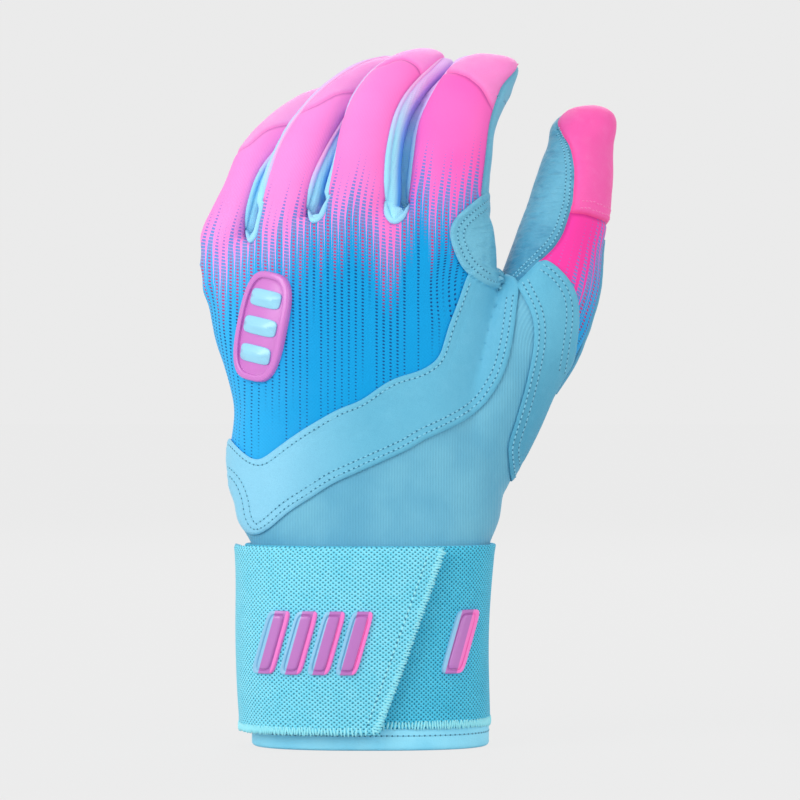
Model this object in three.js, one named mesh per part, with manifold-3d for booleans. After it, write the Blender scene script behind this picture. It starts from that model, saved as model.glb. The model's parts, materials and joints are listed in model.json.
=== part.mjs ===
// A left-hand batting glove, filled as if worn, standing upright on its cuff.
// Millimetres. +Z runs from the cuff to the fingertips, +X points to the thumb side,
// and -Y is the back of the hand. Angles are in degrees.
import * as THREE from "three";
import { mergeVertices } from "three/addons/utils/BufferGeometryUtils.js";
import Module from "manifold-3d";

const wasm = await Module();
wasm.setup();

// Walls, layers and gaps
const panelWall = 1.6; // stretch fabric or palm leather with its backing
const leatherWall = 1.2; // leather laid over the panels
const seamGap = 0.3; // between pieces that touch
const cutOverrun = 30; // how far a cutting solid passes what it cuts
const weldDistance = 0.001; // corners closer than this are one corner

// Hand, from the cuff to the finger webs
const webHeight = 184;
const knuckleHalfWidth = 51;
const wristHalfDepth = 27;
const knuckleRecede = 25; // how far the little-finger edge of the knuckles lies back
const knuckleDrop = 14; // how far the little-finger web lies below the others
const handSquareness = 2.5;
const handPoints = 24; // round a level section of the hand
const liningPoints = 12; // round its hollow

// Each row is one level section of the hand. Height is a share of webHeight, centre and
// halfWidth of knuckleHalfWidth, halfDepth of wristHalfDepth, recede and drop of theirs.
const handSectionShares = [
  { height: 0.0, centre: -0.19, halfWidth: 0.735, halfDepth: 0.93, recede: 0.0, drop: 0 },
  { height: 0.05, centre: -0.205, halfWidth: 0.755, halfDepth: 0.97, recede: 0.0, drop: 0 },
  { height: 0.2, centre: -0.22, halfWidth: 0.761, halfDepth: 1.0, recede: 0.02, drop: 0 },
  { height: 0.365, centre: -0.206, halfWidth: 0.788, halfDepth: 0.98, recede: 0.06, drop: 0 },
  { height: 0.392, centre: -0.214, halfWidth: 0.836, halfDepth: 0.94, recede: 0.08, drop: 0 },
  { height: 0.435, centre: -0.216, halfWidth: 0.892, halfDepth: 0.88, recede: 0.12, drop: 0 },
  { height: 0.54, centre: -0.243, halfWidth: 0.925, halfDepth: 0.77, recede: 0.26, drop: 0 },
  { height: 0.68, centre: -0.266, halfWidth: 0.92, halfDepth: 0.69, recede: 0.52, drop: 0 },
  { height: 0.79, centre: -0.312, halfWidth: 0.96, halfDepth: 0.64, recede: 0.76, drop: 0.1 },
  { height: 0.865, centre: -0.345, halfWidth: 0.99, halfDepth: 0.59, recede: 0.92, drop: 0.3 },
  { height: 0.93, centre: -0.355, halfWidth: 0.985, halfDepth: 0.51, recede: 1.0, drop: 0.7 },
  { height: 0.975, centre: -0.355, halfWidth: 0.955, halfDepth: 0.4, recede: 1.0, drop: 0.95 },
  { height: 1.0, centre: -0.355, halfWidth: 0.9, halfDepth: 0.2, recede: 1.0, drop: 1 },
];

// Digits. The knuckle is where the centre line starts, inside the hand, and the root, where
// there is one, is a smaller section below it. curlYaw turns the
// plane that the digit curls in about Z, sectionYaw turns its seams, lean is in the plane of
// the back of the hand, and the tilts are the first and last slope of the centre line.
const digitSquareness = 2.2;
const digitPoints = 14; // round a section of a digit
const stallPoints = 8; // round its hollow
const digitStep = 11; // between sections along a digit
const stallOverrun = 3; // how far a stall's hollow passes the end that it opens
const webDepth = 3.6; // how far below the web the finger gussets start
const digits = {
  index: {
    knuckleX: 13.5, knuckleY: 0, knuckleHeight: 155, length: 92,
    curlYaw: 38, sectionYaw: 12, lean: 1.5, tiltAtKnuckle: 8, tiltAtTip: 62,
    halfWidth: 13.2, halfDepth: 12.6, tipRound: 11, bendShares: [0.54, 0.95],
    widthShares: [[0, 1], [0.54, 0.97], [0.78, 0.92], [0.89, 0.81]],
    jointShare: 0.5, capShare: 0.84, seamShare: 0.86, curlRange: 35,
  },
  middle: {
    knuckleX: -19.5, knuckleY: -1, knuckleHeight: 155, length: 104,
    curlYaw: 36, sectionYaw: 14, lean: 3.5, tiltAtKnuckle: 11, tiltAtTip: 74,
    halfWidth: 11.6, halfDepth: 12.4, tipRound: 11, bendShares: [0.44, 0.94],
    widthShares: [[0, 1], [0.44, 0.97], [0.8, 0.91], [0.9, 0.81]],
    jointShare: 0.48, capShare: 0.84, seamShare: 0.84, curlRange: 40,
  },
  ring: {
    knuckleX: -46, knuckleY: 7.5, knuckleHeight: 150, length: 110,
    curlYaw: 41, sectionYaw: 18, lean: 3, tiltAtKnuckle: 15, tiltAtTip: 70,
    halfWidth: 11, halfDepth: 12, tipRound: 10.5, bendShares: [0.42, 0.91],
    widthShares: [[0, 1], [0.42, 0.96], [0.82, 0.9], [0.91, 0.79]],
    jointShare: 0.48, capShare: 0.85, seamShare: 0.84, curlRange: 40,
  },
  pinky: {
    knuckleX: -64.5, knuckleY: 23, knuckleHeight: 163, length: 86,
    curlYaw: 42, sectionYaw: 32, lean: 8, tiltAtKnuckle: 18, tiltAtTip: 64,
    halfWidth: 9.6, halfDepth: 10.6, tipRound: 9.5, bendShares: [0.25, 0.9],
    widthShares: [[0, 0.96], [0.27, 0.97], [0.77, 0.91], [0.89, 0.78]],
    jointShare: 0.4, capShare: 0.83, seamShare: 0.84, curlRange: 40,
    rootX: -56, rootY: 19, rootHeight: 141, rootShare: 0.8,
  },
  thumb: {
    knuckleX: 20.5, knuckleY: 2, knuckleHeight: 94.5, length: 140,
    curlYaw: -37, sectionYaw: -37, lean: 23, tiltAtKnuckle: -12, tiltAtTip: 12,
    halfWidth: 18, halfDepth: 17, tipRound: 13, bendShares: [0.28, 0.86],
    widthShares: [[0, 0.95], [0.2, 1], [0.38, 1], [0.52, 0.92], [0.66, 0.82], [0.82, 0.71], [0.9, 0.6]],
    jointShare: 0.68, capShare: 0.7, seamShare: 0.9, curlRange: 20,
  },
};
const fingerNames = ["pinky", "ring", "middle", "index"];
const hingeDepthShare = 0.55; // of a digit's half depth, from its centre line to the curl hinge

// Cuff and wrist strap
const cuffHeight = 11;
const cuffWall = 2.6;
const cuffRound = 1.2;
const strapBottom = 4.6;
const strapTop = 69.2;
const bandWall = 2;
const loopWall = 0.8;
const hookWall = 0.8;
const tabWall = 2;
const barWall = 1.4;
const tabRootDepth = 6; // how far round the little-finger side the tab starts
const peelRange = 100;
const patchInset = 4.2; // of the fastening patches from the tab's edges

// Badge on the back of the hand, and the raised bars on the strap
const badgeWall = 1.8;
const badgeRim = 2.2;
const badgeRibHeight = 1.8;
const badgeRibCount = 3;

// Outlines seen from the back of the hand. Each point is a share of knuckleHalfWidth
// across, from the middle of the part, and of webHeight up.
const stripTopShares = [
  [-1.42, 0.61], [-1.14, 0.575], [-1.06, 0.551], [-0.98, 0.534], [-0.93, 0.532], [-0.64, 0.591], [-0.41, 0.628],
  [-0.07, 0.682], [0.13, 0.699], [0.21, 0.712], [0.26, 0.728], [0.31, 0.774], [0.4, 0.846], [0.44, 0.885],
];
const stripBottomShares = [
  [0.63, 0.85], [0.72, 0.837], [0.76, 0.817], [0.76, 0.784], [0.69, 0.695], [0.6, 0.652], [0.37, 0.599],
  [0.05, 0.553], [-0.41, 0.495], [-0.87, 0.407], [-0.96, 0.394], [-1.03, 0.399], [-1.09, 0.427], [-1.15, 0.488],
  [-1.42, 0.52],
];
// The line under the strip where the printed back meets the stretch wrist panel.
const panelSeamShares = [
  [-1.87, 0.556], [-1.1, 0.549], [-0.95, 0.469], [-0.33, 0.575], [0.13, 0.64], [0.41, 0.672], [0.53, 0.742],
  [0.58, 0.837],
];
const saddleLeftShares = [
  [0.77, 0.867], [0.83, 0.833], [0.88, 0.803], [0.89, 0.768], [0.88, 0.732], [0.81, 0.645], [0.71, 0.559],
  [0.72, 0.535], [0.74, 0.489],
];
const saddleRightShares = [
  [1.07, 0.654], [1.12, 0.682], [1.18, 0.761], [1.19, 0.822], [1.17, 0.852], [1.11, 0.877], [1.04, 0.897],
  [0.96, 0.912],
];
const thumbPalmEdgeShares = [[0.87, 0.892], [0.96, 0.912], [1.05, 0.935], [1.11, 0.965], [1.15, 0.997]];
const knuckleWrapShares = [
  [0.56, 1.058], [0.5, 1.03], [0.4, 1.0], [0.34, 0.974], [0.32, 0.954], [0.34, 0.933], [0.37, 0.909],
  [0.42, 0.887], [0.48, 0.872], [0.54, 0.857], [0.64, 0.848],
];
const badgeCentreShare = [-0.93, 0.782];
const badgeHalfWidth = 10.5;
const badgeHalfHeight = 19;
const badgeLean = -14;
const tabEdgeShares = [[0.3, 0.374], [-0.12, 0.046]];
const hookStartShare = -0.5; // where the hook patch starts under the tab
const thumbCapEdgeShares = [[1.15, 0.95], [1.15, 1.0], [1.18, 1.045], [1.18, 1.077], [1.17, 1.103], [1.1, 1.158], [1.1, 1.3]];
const thumbCapWrapShare = 0.3; // how far the thumb cap reaches past the middle, of the half depth
const pipingShares = [0.28, 0.66];
const pipingRadius = 0.9;
const badgeSquareness = 3.2;
const palmPatchCentreShare = [-0.54, 0.608];
const palmPatchHalfWidth = 17;
const palmPatchHalfHeight = 23;

// Raised bars: the middle of each as a share of knuckleHalfWidth, on the tab and the band.
const barHalfWidth = 4.2;
const barHalfHeight = 10.5;
const barSlant = 4;
const barMiddleShare = 0.211;
const tabBarShares = [-0.86, -0.62, -0.38, -0.14];
const bandBarShare = 0.45;

const rad = THREE.MathUtils.degToRad;

// Solids from geometry and back

function solidOf(geometry) {
  const bare = geometry.clone();
  bare.deleteAttribute("normal");
  bare.deleteAttribute("uv");
  const merged = mergeVertices(bare, weldDistance);
  return new wasm.Manifold(
    new wasm.Mesh({
      numProp: 3,
      vertProperties: merged.attributes.position.array,
      triVerts: new Uint32Array(merged.index.array),
    }),
  );
}

function geometryOf(solid) {
  const mesh = solid.getMesh();
  const geometry = new THREE.BufferGeometry();
  geometry.setAttribute("position", new THREE.BufferAttribute(mesh.vertProperties, 3));
  geometry.setIndex(new THREE.BufferAttribute(mesh.triVerts, 1));
  geometry.computeVertexNormals();
  return geometry;
}

// The largest body, without the slivers that a slanting cut can leave beside it.
function mainBody(solid) {
  return solid.decompose().reduce((best, body) => (body.volume() > best.volume() ? body : best));
}

function joined(solids) {
  return solids.reduce((sum, solid) => sum.add(solid));
}

function without(solid, cutters) {
  return cutters.reduce((rest, cutter) => rest.subtract(cutter), solid);
}

// A closed skin through rings of points, each ring turning from the side to the palm.
function loft(rings) {
  const count = rings[0].length;
  const positions = rings.flat().flatMap((p) => [p.x, p.y, p.z]);
  const index = [];
  for (let r = 0; r + 1 < rings.length; r++) {
    for (let k = 0; k < count; k++) {
      const a = r * count + k;
      const b = r * count + ((k + 1) % count);
      index.push(a, b, b + count, a, b + count, a + count);
    }
  }
  const capEnd = (ring, start, flip) => {
    const centre = positions.length / 3;
    const middle = ring.reduce((sum, p) => sum.add(p), new THREE.Vector3()).divideScalar(count);
    positions.push(middle.x, middle.y, middle.z);
    for (let k = 0; k < count; k++) {
      const a = start + k;
      const b = start + ((k + 1) % count);
      index.push(centre, flip ? b : a, flip ? a : b);
    }
  };
  capEnd(rings[0], 0, true);
  capEnd(rings.at(-1), (rings.length - 1) * count, false);
  const geometry = new THREE.BufferGeometry();
  geometry.setAttribute("position", new THREE.Float32BufferAttribute(positions, 3));
  geometry.setIndex(index);
  return solidOf(geometry);
}

function roundedUnit(turn, squareness) {
  const shape = (value) => Math.sign(value) * Math.abs(value) ** (2 / squareness);
  return [shape(Math.cos(turn)), shape(Math.sin(turn))];
}

function between(rows, at, key) {
  const next = rows.findIndex((row) => row[0] >= at);
  if (next === 0) return rows[0][key];
  if (next < 0) return rows.at(-1)[key];
  const [from, to] = [rows[next - 1], rows[next]];
  return THREE.MathUtils.lerp(from[key], to[key], (at - from[0]) / (to[0] - from[0]));
}

// Hand

function handSection(height) {
  const at = height / webHeight;
  const value = (name) => between(handSectionShares.map((row) => [row.height, row[name]]), at, 1);
  return {
    height,
    centre: value("centre") * knuckleHalfWidth,
    halfWidth: value("halfWidth") * knuckleHalfWidth,
    halfDepth: value("halfDepth") * wristHalfDepth,
    recede: value("recede") * knuckleRecede,
    drop: value("drop") * knuckleDrop,
  };
}

function handRing(section, grow, count = handPoints) {
  const ring = [];
  for (let k = 0; k < count; k++) {
    const [u, v] = roundedUnit((2 * Math.PI * k) / count, handSquareness);
    const back = Math.max(0, -u) ** 2;
    ring.push(
      new THREE.Vector3(
        section.centre + (section.halfWidth + grow) * u,
        (section.halfDepth + grow) * v + section.recede * back,
        section.height - section.drop * back,
      ),
    );
  }
  return ring;
}

function handLoft(grow, bottom, count) {
  const heights = handSectionShares.map((row) => row.height * webHeight).filter((height) => height > bottom);
  const rings = [bottom, ...heights].map((height) => handRing(handSection(Math.max(height, 0)), grow, count));
  rings[0].forEach((point) => (point.z = bottom));
  rings.at(-1).forEach((point) => (point.z += grow));
  return loft(rings);
}

// Digits

function tiltAt(digit, along) {
  const [start, end] = digit.bendShares;
  const bend = THREE.MathUtils.smoothstep(along / digit.length, start, end);
  return rad(THREE.MathUtils.lerp(digit.tiltAtKnuckle, digit.tiltAtTip, bend));
}

function digitFrame(yawDegrees, leanDegrees) {
  const yaw = rad(yawDegrees);
  const lean = rad(leanDegrees);
  const across = new THREE.Vector3(Math.cos(yaw), -Math.sin(yaw), 0);
  const up = new THREE.Vector3(0, 0, 1);
  return {
    curl: new THREE.Vector3(Math.sin(yaw), Math.cos(yaw), 0),
    axis: up.clone().multiplyScalar(Math.cos(lean)).addScaledVector(across, Math.sin(lean)),
    side: across.clone().multiplyScalar(Math.cos(lean)).addScaledVector(up, -Math.sin(lean)),
  };
}

const pathSteps = 60;

function directionAt(digit, along) {
  const { curl, axis } = digitFrame(digit.curlYaw, digit.lean);
  const tilt = tiltAt(digit, along);
  return axis.clone().multiplyScalar(Math.cos(tilt)).addScaledVector(curl, Math.sin(tilt));
}

function centreAt(digit, along) {
  const point = new THREE.Vector3(digit.knuckleX, digit.knuckleY, digit.knuckleHeight);
  const step = along / pathSteps;
  for (let k = 0; k < pathSteps; k++) {
    point.addScaledVector(directionAt(digit, (k + 1 / 2) * step), step);
  }
  return point;
}

// The frame of a digit's section: along it, across it, and towards the palm.
function stationAt(digit, along, grow = 0) {
  const direction = directionAt(digit, along);
  const side = digitFrame(digit.sectionYaw, digit.lean).side;
  side.addScaledVector(direction, -side.dot(direction)).normalize();
  const palm = direction.clone().cross(side);
  const share = between(digit.widthShares, along / digit.length, 1);
  const roundFrom = digit.length - digit.tipRound;
  const past = Math.max(0, along - roundFrom) / (digit.tipRound + grow);
  const round = Math.sqrt(Math.max(0, 1 - past * past));
  return {
    centre: centreAt(digit, along),
    direction,
    side,
    palm,
    halfWidth: (digit.halfWidth * share + grow) * round,
    halfDepth: (digit.halfDepth * share + grow) * round,
  };
}

function stationPoint(station, across, depth, along = 0) {
  return station.centre
    .clone()
    .addScaledVector(station.side, across)
    .addScaledVector(station.palm, depth)
    .addScaledVector(station.direction, along);
}

function digitRing(station, count) {
  const ring = [];
  for (let k = 0; k < count; k++) {
    const [u, v] = roundedUnit((2 * Math.PI * k) / count, digitSquareness);
    ring.push(stationPoint(station, station.halfWidth * u, station.halfDepth * v));
  }
  return ring;
}

function stops(from, to, step) {
  const count = Math.max(1, Math.round((to - from) / step));
  return Array.from({ length: count + 1 }, (_, k) => from + ((to - from) * k) / count);
}

const tipRoundShares = [0.5, 0.82, 0.97];

function rootStation(digit, grow) {
  const station = stationAt(digit, 0, grow);
  return {
    ...station,
    centre: new THREE.Vector3(digit.rootX, digit.rootY, digit.rootHeight),
    halfWidth: station.halfWidth * digit.rootShare,
    halfDepth: station.halfDepth * digit.rootShare,
  };
}

// A digit from one place on its centre line to another, or to its rounded tip.
function digitLoft(digit, from, to, grow) {
  const roundFrom = digit.length - digit.tipRound;
  const straightEnd = Math.min(to, roundFrom);
  const places = stops(from, straightEnd, digitStep);
  if (to > roundFrom) {
    tipRoundShares.forEach((share) => places.push(roundFrom + share * (digit.tipRound + grow)));
  }
  const count = grow < 0 ? stallPoints : digitPoints;
  const rings = places.map((along) => digitRing(stationAt(digit, along, grow), count));
  if (from === 0 && digit.rootShare) rings.unshift(digitRing(rootStation(digit, grow), count));
  return loft(rings);
}

function jointAt(digit) {
  return digit.jointShare * digit.length;
}

function capAt(digit) {
  return digit.capShare * digit.length;
}

// The solid on the back side of a digit's middle surface, shifted towards the palm.
function dorsalZone(digit, from, to, shift) {
  const reach = digit.halfWidth + cutOverrun;
  const rings = stops(from, to, digitStep).map((along) => {
    const station = stationAt(digit, along);
    return [
      stationPoint(station, reach, -reach),
      stationPoint(station, reach, shift),
      stationPoint(station, -reach, shift),
      stationPoint(station, -reach, -reach),
    ];
  });
  return loft(rings);
}

// The solid past a digit's side seam, on its thumb side (1) or little-finger side (-1).
function sideZone(digit, hand, from, to, grow) {
  const rings = stops(from, to, digitStep).map((along) => {
    const station = stationAt(digit, along);
    const near = station.halfWidth * digit.seamShare - grow;
    const far = station.halfWidth + leatherWall + grow;
    const depth = digit.halfDepth + digit.tipRound;
    const [low, high] = hand > 0 ? [near, far] : [-far, -near];
    return [
      stationPoint(station, high, -depth),
      stationPoint(station, high, depth),
      stationPoint(station, low, depth),
      stationPoint(station, low, -depth),
    ];
  });
  return loft(rings);
}

// Everything past one place on a digit, square to it.
function beyond(digit, along, shift) {
  const station = stationAt(digit, along);
  const reach = digit.halfWidth + cutOverrun;
  const rings = [shift, shift + reach + cutOverrun].map((at) => [
    stationPoint(station, reach, -reach, at),
    stationPoint(station, reach, reach, at),
    stationPoint(station, -reach, reach, at),
    stationPoint(station, -reach, -reach, at),
  ]);
  return loft(rings);
}

// Where a digit bends: the hinge line lies near the palm side, across the curl plane.
function hingeOf(digit) {
  const station = stationAt(digit, jointAt(digit));
  const side = digitFrame(digit.curlYaw, digit.lean).side;
  const palm = station.direction.clone().cross(side);
  const point = station.centre.clone().addScaledVector(palm, station.halfDepth * hingeDepthShare);
  return { point, side, palm, direction: station.direction };
}

// The wedge that opens a digit's palm side, so that its tip can curl.
function curlNotch(digit) {
  const hinge = hingeOf(digit);
  const reach = digit.halfWidth + cutOverrun;
  const depth = digit.halfDepth + digit.tipRound;
  const rise = depth * Math.tan(rad(digit.curlRange));
  const place = (across, palm, along) =>
    hinge.point
      .clone()
      .addScaledVector(hinge.side, across)
      .addScaledVector(hinge.palm, palm)
      .addScaledVector(hinge.direction, along);
  const rings = [-reach, reach].map((across) => [
    place(across, -seamGap, -digit.tipRound),
    place(across, -seamGap, seamGap),
    place(across, depth, rise + seamGap),
    place(across, depth, -digit.tipRound),
  ]);
  return loft(rings.map((ring) => ring.reverse()));
}

// The bare glove's form without the digit tips, grown outwards by grow.
function handForm(grow, bottom) {
  const parts = Object.values(digits).map((digit) => {
    const end = jointAt(digit) + (grow < 0 ? stallOverrun : -seamGap / 2);
    return digitLoft(digit, 0, end, grow);
  });
  return joined([handLoft(grow, bottom, grow < 0 ? liningPoints : handPoints), ...parts]);
}

// Front-view outlines

function frontPoints(shares) {
  return shares.map(([across, up]) => new THREE.Vector2(across * knuckleHalfWidth, up * webHeight));
}

function offsetOutline(points, distance) {
  if (distance === 0) return points;
  const turn = THREE.ShapeUtils.isClockWise(points) ? -1 : 1;
  return points.map((point, k) => {
    const before = points[(k + points.length - 1) % points.length];
    const after = points[(k + 1) % points.length];
    const into = point.clone().sub(before).normalize();
    const out = after.clone().sub(point).normalize();
    const normal = new THREE.Vector2(into.y + out.y, -into.x - out.x).normalize();
    const sharp = Math.max(normal.dot(new THREE.Vector2(into.y, -into.x)), 1 / 2);
    return point.clone().addScaledVector(normal, (turn * distance) / sharp);
  });
}

// An outline pushed through the glove along Y, from nearY to farY.
function frontPrism(points, nearY, farY, grow = 0) {
  const shape = new THREE.Shape(offsetOutline(points, grow));
  const geometry = new THREE.ExtrudeGeometry(shape, { depth: farY - nearY, bevelEnabled: false });
  geometry.rotateX(Math.PI / 2);
  geometry.translate(0, farY, 0);
  return solidOf(geometry);
}

const frontY = -2 * wristHalfDepth;
const rearY = 2 * wristHalfDepth + knuckleRecede + cutOverrun;
const farX = 3 * knuckleHalfWidth;
const highZ = 2 * webHeight;

function throughPrism(points, grow = 0) {
  return frontPrism(points, frontY, rearY, grow);
}

function box(lowX, highX, lowY, highY, lowZ, upZ) {
  const geometry = new THREE.BoxGeometry(highX - lowX, highY - lowY, upZ - lowZ);
  geometry.translate((lowX + highX) / 2, (lowY + highY) / 2, (lowZ + upZ) / 2);
  return solidOf(geometry);
}

// The middle surface between the back and the palm, and the solid in front of it.

function middlePoints(height) {
  const points = [];
  const knuckles = digits.pinky.knuckleHeight;
  if (height < knuckles) {
    const section = handSection(Math.max(height, 0));
    [-1, -3 / 4, -1 / 2, -1 / 4, 0, 3 / 4].forEach((u) => {
      const back = Math.max(0, -u) ** 2;
      points.push([section.centre + section.halfWidth * u, section.recede * back]);
    });
  } else {
    fingerNames.forEach((name) => points.push(centreAtHeight(digits[name], height)));
  }
  points.push(centreAtHeight(digits.thumb, height));
  return points;
}

function centreAtHeight(digit, height) {
  let along = 0;
  const step = digit.length / pathSteps;
  while (along < digit.length && centreAt(digit, along).z < height) along += step;
  const centre = centreAt(digit, along);
  return [centre.x, centre.y];
}

const middleStopShares = [-0.1, 0.4, 0.6, 0.75, 0.87, 0.92, 1, 1.1, 1.35];
const middleColumns = 17;

function backHalf(shift) {
  const rings = middleStopShares.map((share) => {
    const height = share * webHeight;
    const points = middlePoints(height);
    const ring = [new THREE.Vector3(farX, frontY, height)];
    for (let k = 0; k < middleColumns; k++) {
      const x = farX - (2 * farX * k) / (middleColumns - 1);
      ring.push(new THREE.Vector3(x, between(points, x, 1) + shift, height));
    }
    ring.push(new THREE.Vector3(-farX, frontY, height));
    return ring;
  });
  return loft(rings);
}

// Materials

function material(color, roughness, metalness = 0) {
  return new THREE.MeshStandardMaterial({ color, roughness, metalness });
}

const finishes = {
  printedStretch: () => material(0x0699d4, 0.6),
  printedPink: () => material(0xfe6bc7, 0.6),
  paleLeather: () => material(0x6ab6d3, 0.5),
  saddleLeather: () => material(0x49a2c0, 0.5),
  stretchKnit: () => material(0x72bad3, 0.75),
  pinkLeather: () => material(0xff9edc, 0.5),
  strapElastic: () => material(0x78c4dd, 0.85),
  gussetKnit: () => material(0x9ce1fc, 0.7),
  neoprene: () => material(0x7ac4de, 0.6),
  mouldedPurple: () => material(0xb973be, 0.35),
  mouldedBlue: () => material(0x8fd6ee, 0.35),
};

const glove = new THREE.Group();

function place(name, solid, finish, group) {
  const welded = solidOf(geometryOf(mainBody(solid)));
  const mesh = new THREE.Mesh(geometryOf(mainBody(welded)), finishes[finish]());
  mesh.name = name;
  group.add(mesh);
}

// Hand pieces

const halfGap = seamGap / 2;

function shellOf(bottom) {
  return handForm(0, bottom).subtract(handForm(-panelWall, bottom - cutOverrun));
}

function webZone(left, right, grow) {
  const [from, to] = [webStart(left), webStart(right)];
  const leftStation = stationAt(left, from);
  const rightStation = stationAt(right, to);
  const leftEdge = stationPoint(leftStation, leftStation.halfWidth * left.seamShare, 0);
  const rightEdge = stationPoint(rightStation, -rightStation.halfWidth * right.seamShare, 0);
  const low = Math.min(leftEdge.z, rightEdge.z);
  return box(leftEdge.x - grow, rightEdge.x + grow, frontY, rearY, low - grow, low + left.tipRound + grow);
}

// Where a finger's side gussets start, a little below the web that they meet in.
function webStart(digit) {
  const drop = digit === digits.pinky ? knuckleDrop / 2 : digit === digits.ring ? knuckleDrop / 4 : 0;
  const height = webHeight - webDepth - drop;
  let along = 0;
  const step = digit.length / pathSteps;
  while (centreAt(digit, along).z < height) along += step;
  return along;
}

// The zone of the gusset between two neighbouring fingers, on the hand.
function gussetZone(left, right, grow) {
  return joined([
    sideZone(left, 1, webStart(left) - grow, jointAt(left) + digitStep, grow),
    sideZone(right, -1, webStart(right) - grow, jointAt(right) + digitStep, grow),
    webZone(left, right, grow),
  ]);
}

function stripOutline() {
  return frontPoints([...stripTopShares, ...stripBottomShares]);
}

function aboveSeamOutline() {
  const seam = frontPoints(panelSeamShares);
  const end = seam.at(-1);
  return [
    ...seam,
    new THREE.Vector2(farX, end.y),
    new THREE.Vector2(farX, highZ),
    new THREE.Vector2(-farX, highZ),
    new THREE.Vector2(-farX, seam[0].y),
  ];
}

function thumbOutline() {
  const left = frontPoints(saddleLeftShares);
  const top = left[0];
  return [
    new THREE.Vector2(digits.index.knuckleX + digits.thumb.halfWidth + seamGap, top.y - seamGap),
    ...left,
    new THREE.Vector2(farX, left.at(-1).y),
    new THREE.Vector2(farX, highZ),
    new THREE.Vector2(digits.index.knuckleX + digits.thumb.halfWidth + digits.thumb.tipRound / 2, highZ),
  ];
}

function thumbUpperOutline() {
  const edge = frontPoints([saddleLeftShares[0], ...thumbPalmEdgeShares.slice(0, 2)]);
  const outline = thumbOutline();
  return [
    outline[0],
    ...edge,
    new THREE.Vector2(farX, edge.at(-1).y),
    new THREE.Vector2(farX, highZ),
    outline.at(-1),
  ];
}

function saddleOutline() {
  const right = frontPoints(saddleRightShares);
  const left = frontPoints(saddleLeftShares);
  const edge = frontPoints(thumbPalmEdgeShares.slice(0, 1));
  return [...left, new THREE.Vector2(right[0].x, left.at(-1).y), ...right, ...edge];
}

function thumbBackOutline() {
  const edge = frontPoints(thumbPalmEdgeShares).reverse();
  const right = frontPoints(saddleRightShares).reverse();
  return [
    new THREE.Vector2(edge[0].x, highZ),
    ...edge.slice(0, -1),
    ...right.slice(1),
    new THREE.Vector2(farX, right.at(-1).y),
    new THREE.Vector2(farX, highZ),
  ];
}

function ovalOutline(centreShare, halfWidth, halfHeight, lean, squareness, count) {
  const [centre] = frontPoints([centreShare]);
  const origin = new THREE.Vector2();
  return Array.from({ length: count }, (_, k) => {
    const [u, v] = roundedUnit((2 * Math.PI * k) / count, squareness);
    return new THREE.Vector2(u * halfWidth, v * halfHeight).rotateAround(origin, rad(lean)).add(centre);
  });
}

function gloveLayer(inner, outer) {
  return handForm(outer, cuffHeight).subtract(handForm(inner, cuffHeight - cutOverrun));
}

function buildHand() {
  const bottom = cuffHeight + seamGap;
  const shell = shellOf(bottom);
  const front = backHalf(-halfGap);
  const frontWide = backHalf(halfGap);
  const gussets = [0, 1, 2].map((k) => [digits[fingerNames[k]], digits[fingerNames[k + 1]]]);
  const gussetCuts = gussets.map(([left, right]) => gussetZone(left, right, seamGap));
  const indexSide = (grow) => sideZone(digits.index, 1, webStart(digits.index), jointAt(digits.index) + digitStep, grow);
  const backSide = shell.intersect(front);
  const aboveSeam = aboveSeamOutline();
  const thumb = thumbOutline();
  const thumbBack = throughPrism(thumbBackOutline()).intersect(frontWide);

  place(
    "back_panel",
    without(backSide.intersect(throughPrism(aboveSeam)), [
      ...gussetCuts,
      throughPrism(thumb, seamGap),
      indexSide(seamGap),
    ]),
    "printedStretch",
    glove,
  );
  place(
    "wrist_stretch_panel",
    without(backSide, [throughPrism(aboveSeam, seamGap), throughPrism(thumb, seamGap)]),
    "stretchKnit",
    glove,
  );
  place(
    "palm_panel",
    without(shell, [
      frontWide.subtract(indexSide(0)),
      ...gussetCuts,
      throughPrism(thumbUpperOutline(), seamGap),
    ]),
    "paleLeather",
    glove,
  );
  gussets.forEach(([left, right], k) => {
    const zone = gussetZone(left, right, 0);
    place(`gusset_${fingerNames[k]}_${fingerNames[k + 1]}`, shell.intersect(zone), "gussetKnit", glove);
  });
  place("thumb_saddle", backSide.intersect(throughPrism(saddleOutline(), -halfGap)), "saddleLeather", glove);
  place(
    "thumb_back_panel",
    backSide.intersect(throughPrism(thumbBackOutline(), -seamGap)),
    "printedPink",
    glove,
  );
  place(
    "thumb_palm_panel",
    shell.intersect(throughPrism(thumbUpperOutline())).subtract(thumbBack),
    "paleLeather",
    glove,
  );

  const leather = gloveLayer(seamGap, seamGap + leatherWall).intersect(front);
  place("back_strip", leather.intersect(throughPrism(stripOutline())), "paleLeather", glove);
  const wrapEdge = frontPoints(knuckleWrapShares);
  const wrapOutline = [...wrapEdge, new THREE.Vector2(wrapEdge.at(-1).x + leatherWall, wrapEdge[0].y)];
  place(
    "index_knuckle_wrap",
    leather.intersect(throughPrism(wrapOutline)).subtract(throughPrism(stripOutline(), seamGap)),
    "paleLeather",
    glove,
  );
  const palmLeather = gloveLayer(seamGap, seamGap + leatherWall).subtract(frontWide);
  const patch = ovalOutline(palmPatchCentreShare, palmPatchHalfWidth, palmPatchHalfHeight, 0, digitSquareness, digitPoints);
  place("palm_patch", palmLeather.intersect(throughPrism(patch)), "saddleLeather", glove);
}

// Digit tips, past the curl hinges

// A tip turns about its hinge line by its curl range, towards the palm.
function addTip(name, tip) {
  const { point, side } = hingeOf(digits[name]);
  tip.name = `${name}_tip`;
  tip.userData = { point: point.toArray(), axis: side.negate().toArray(), range: digits[name].curlRange };
  glove.add(tip);
}

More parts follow.
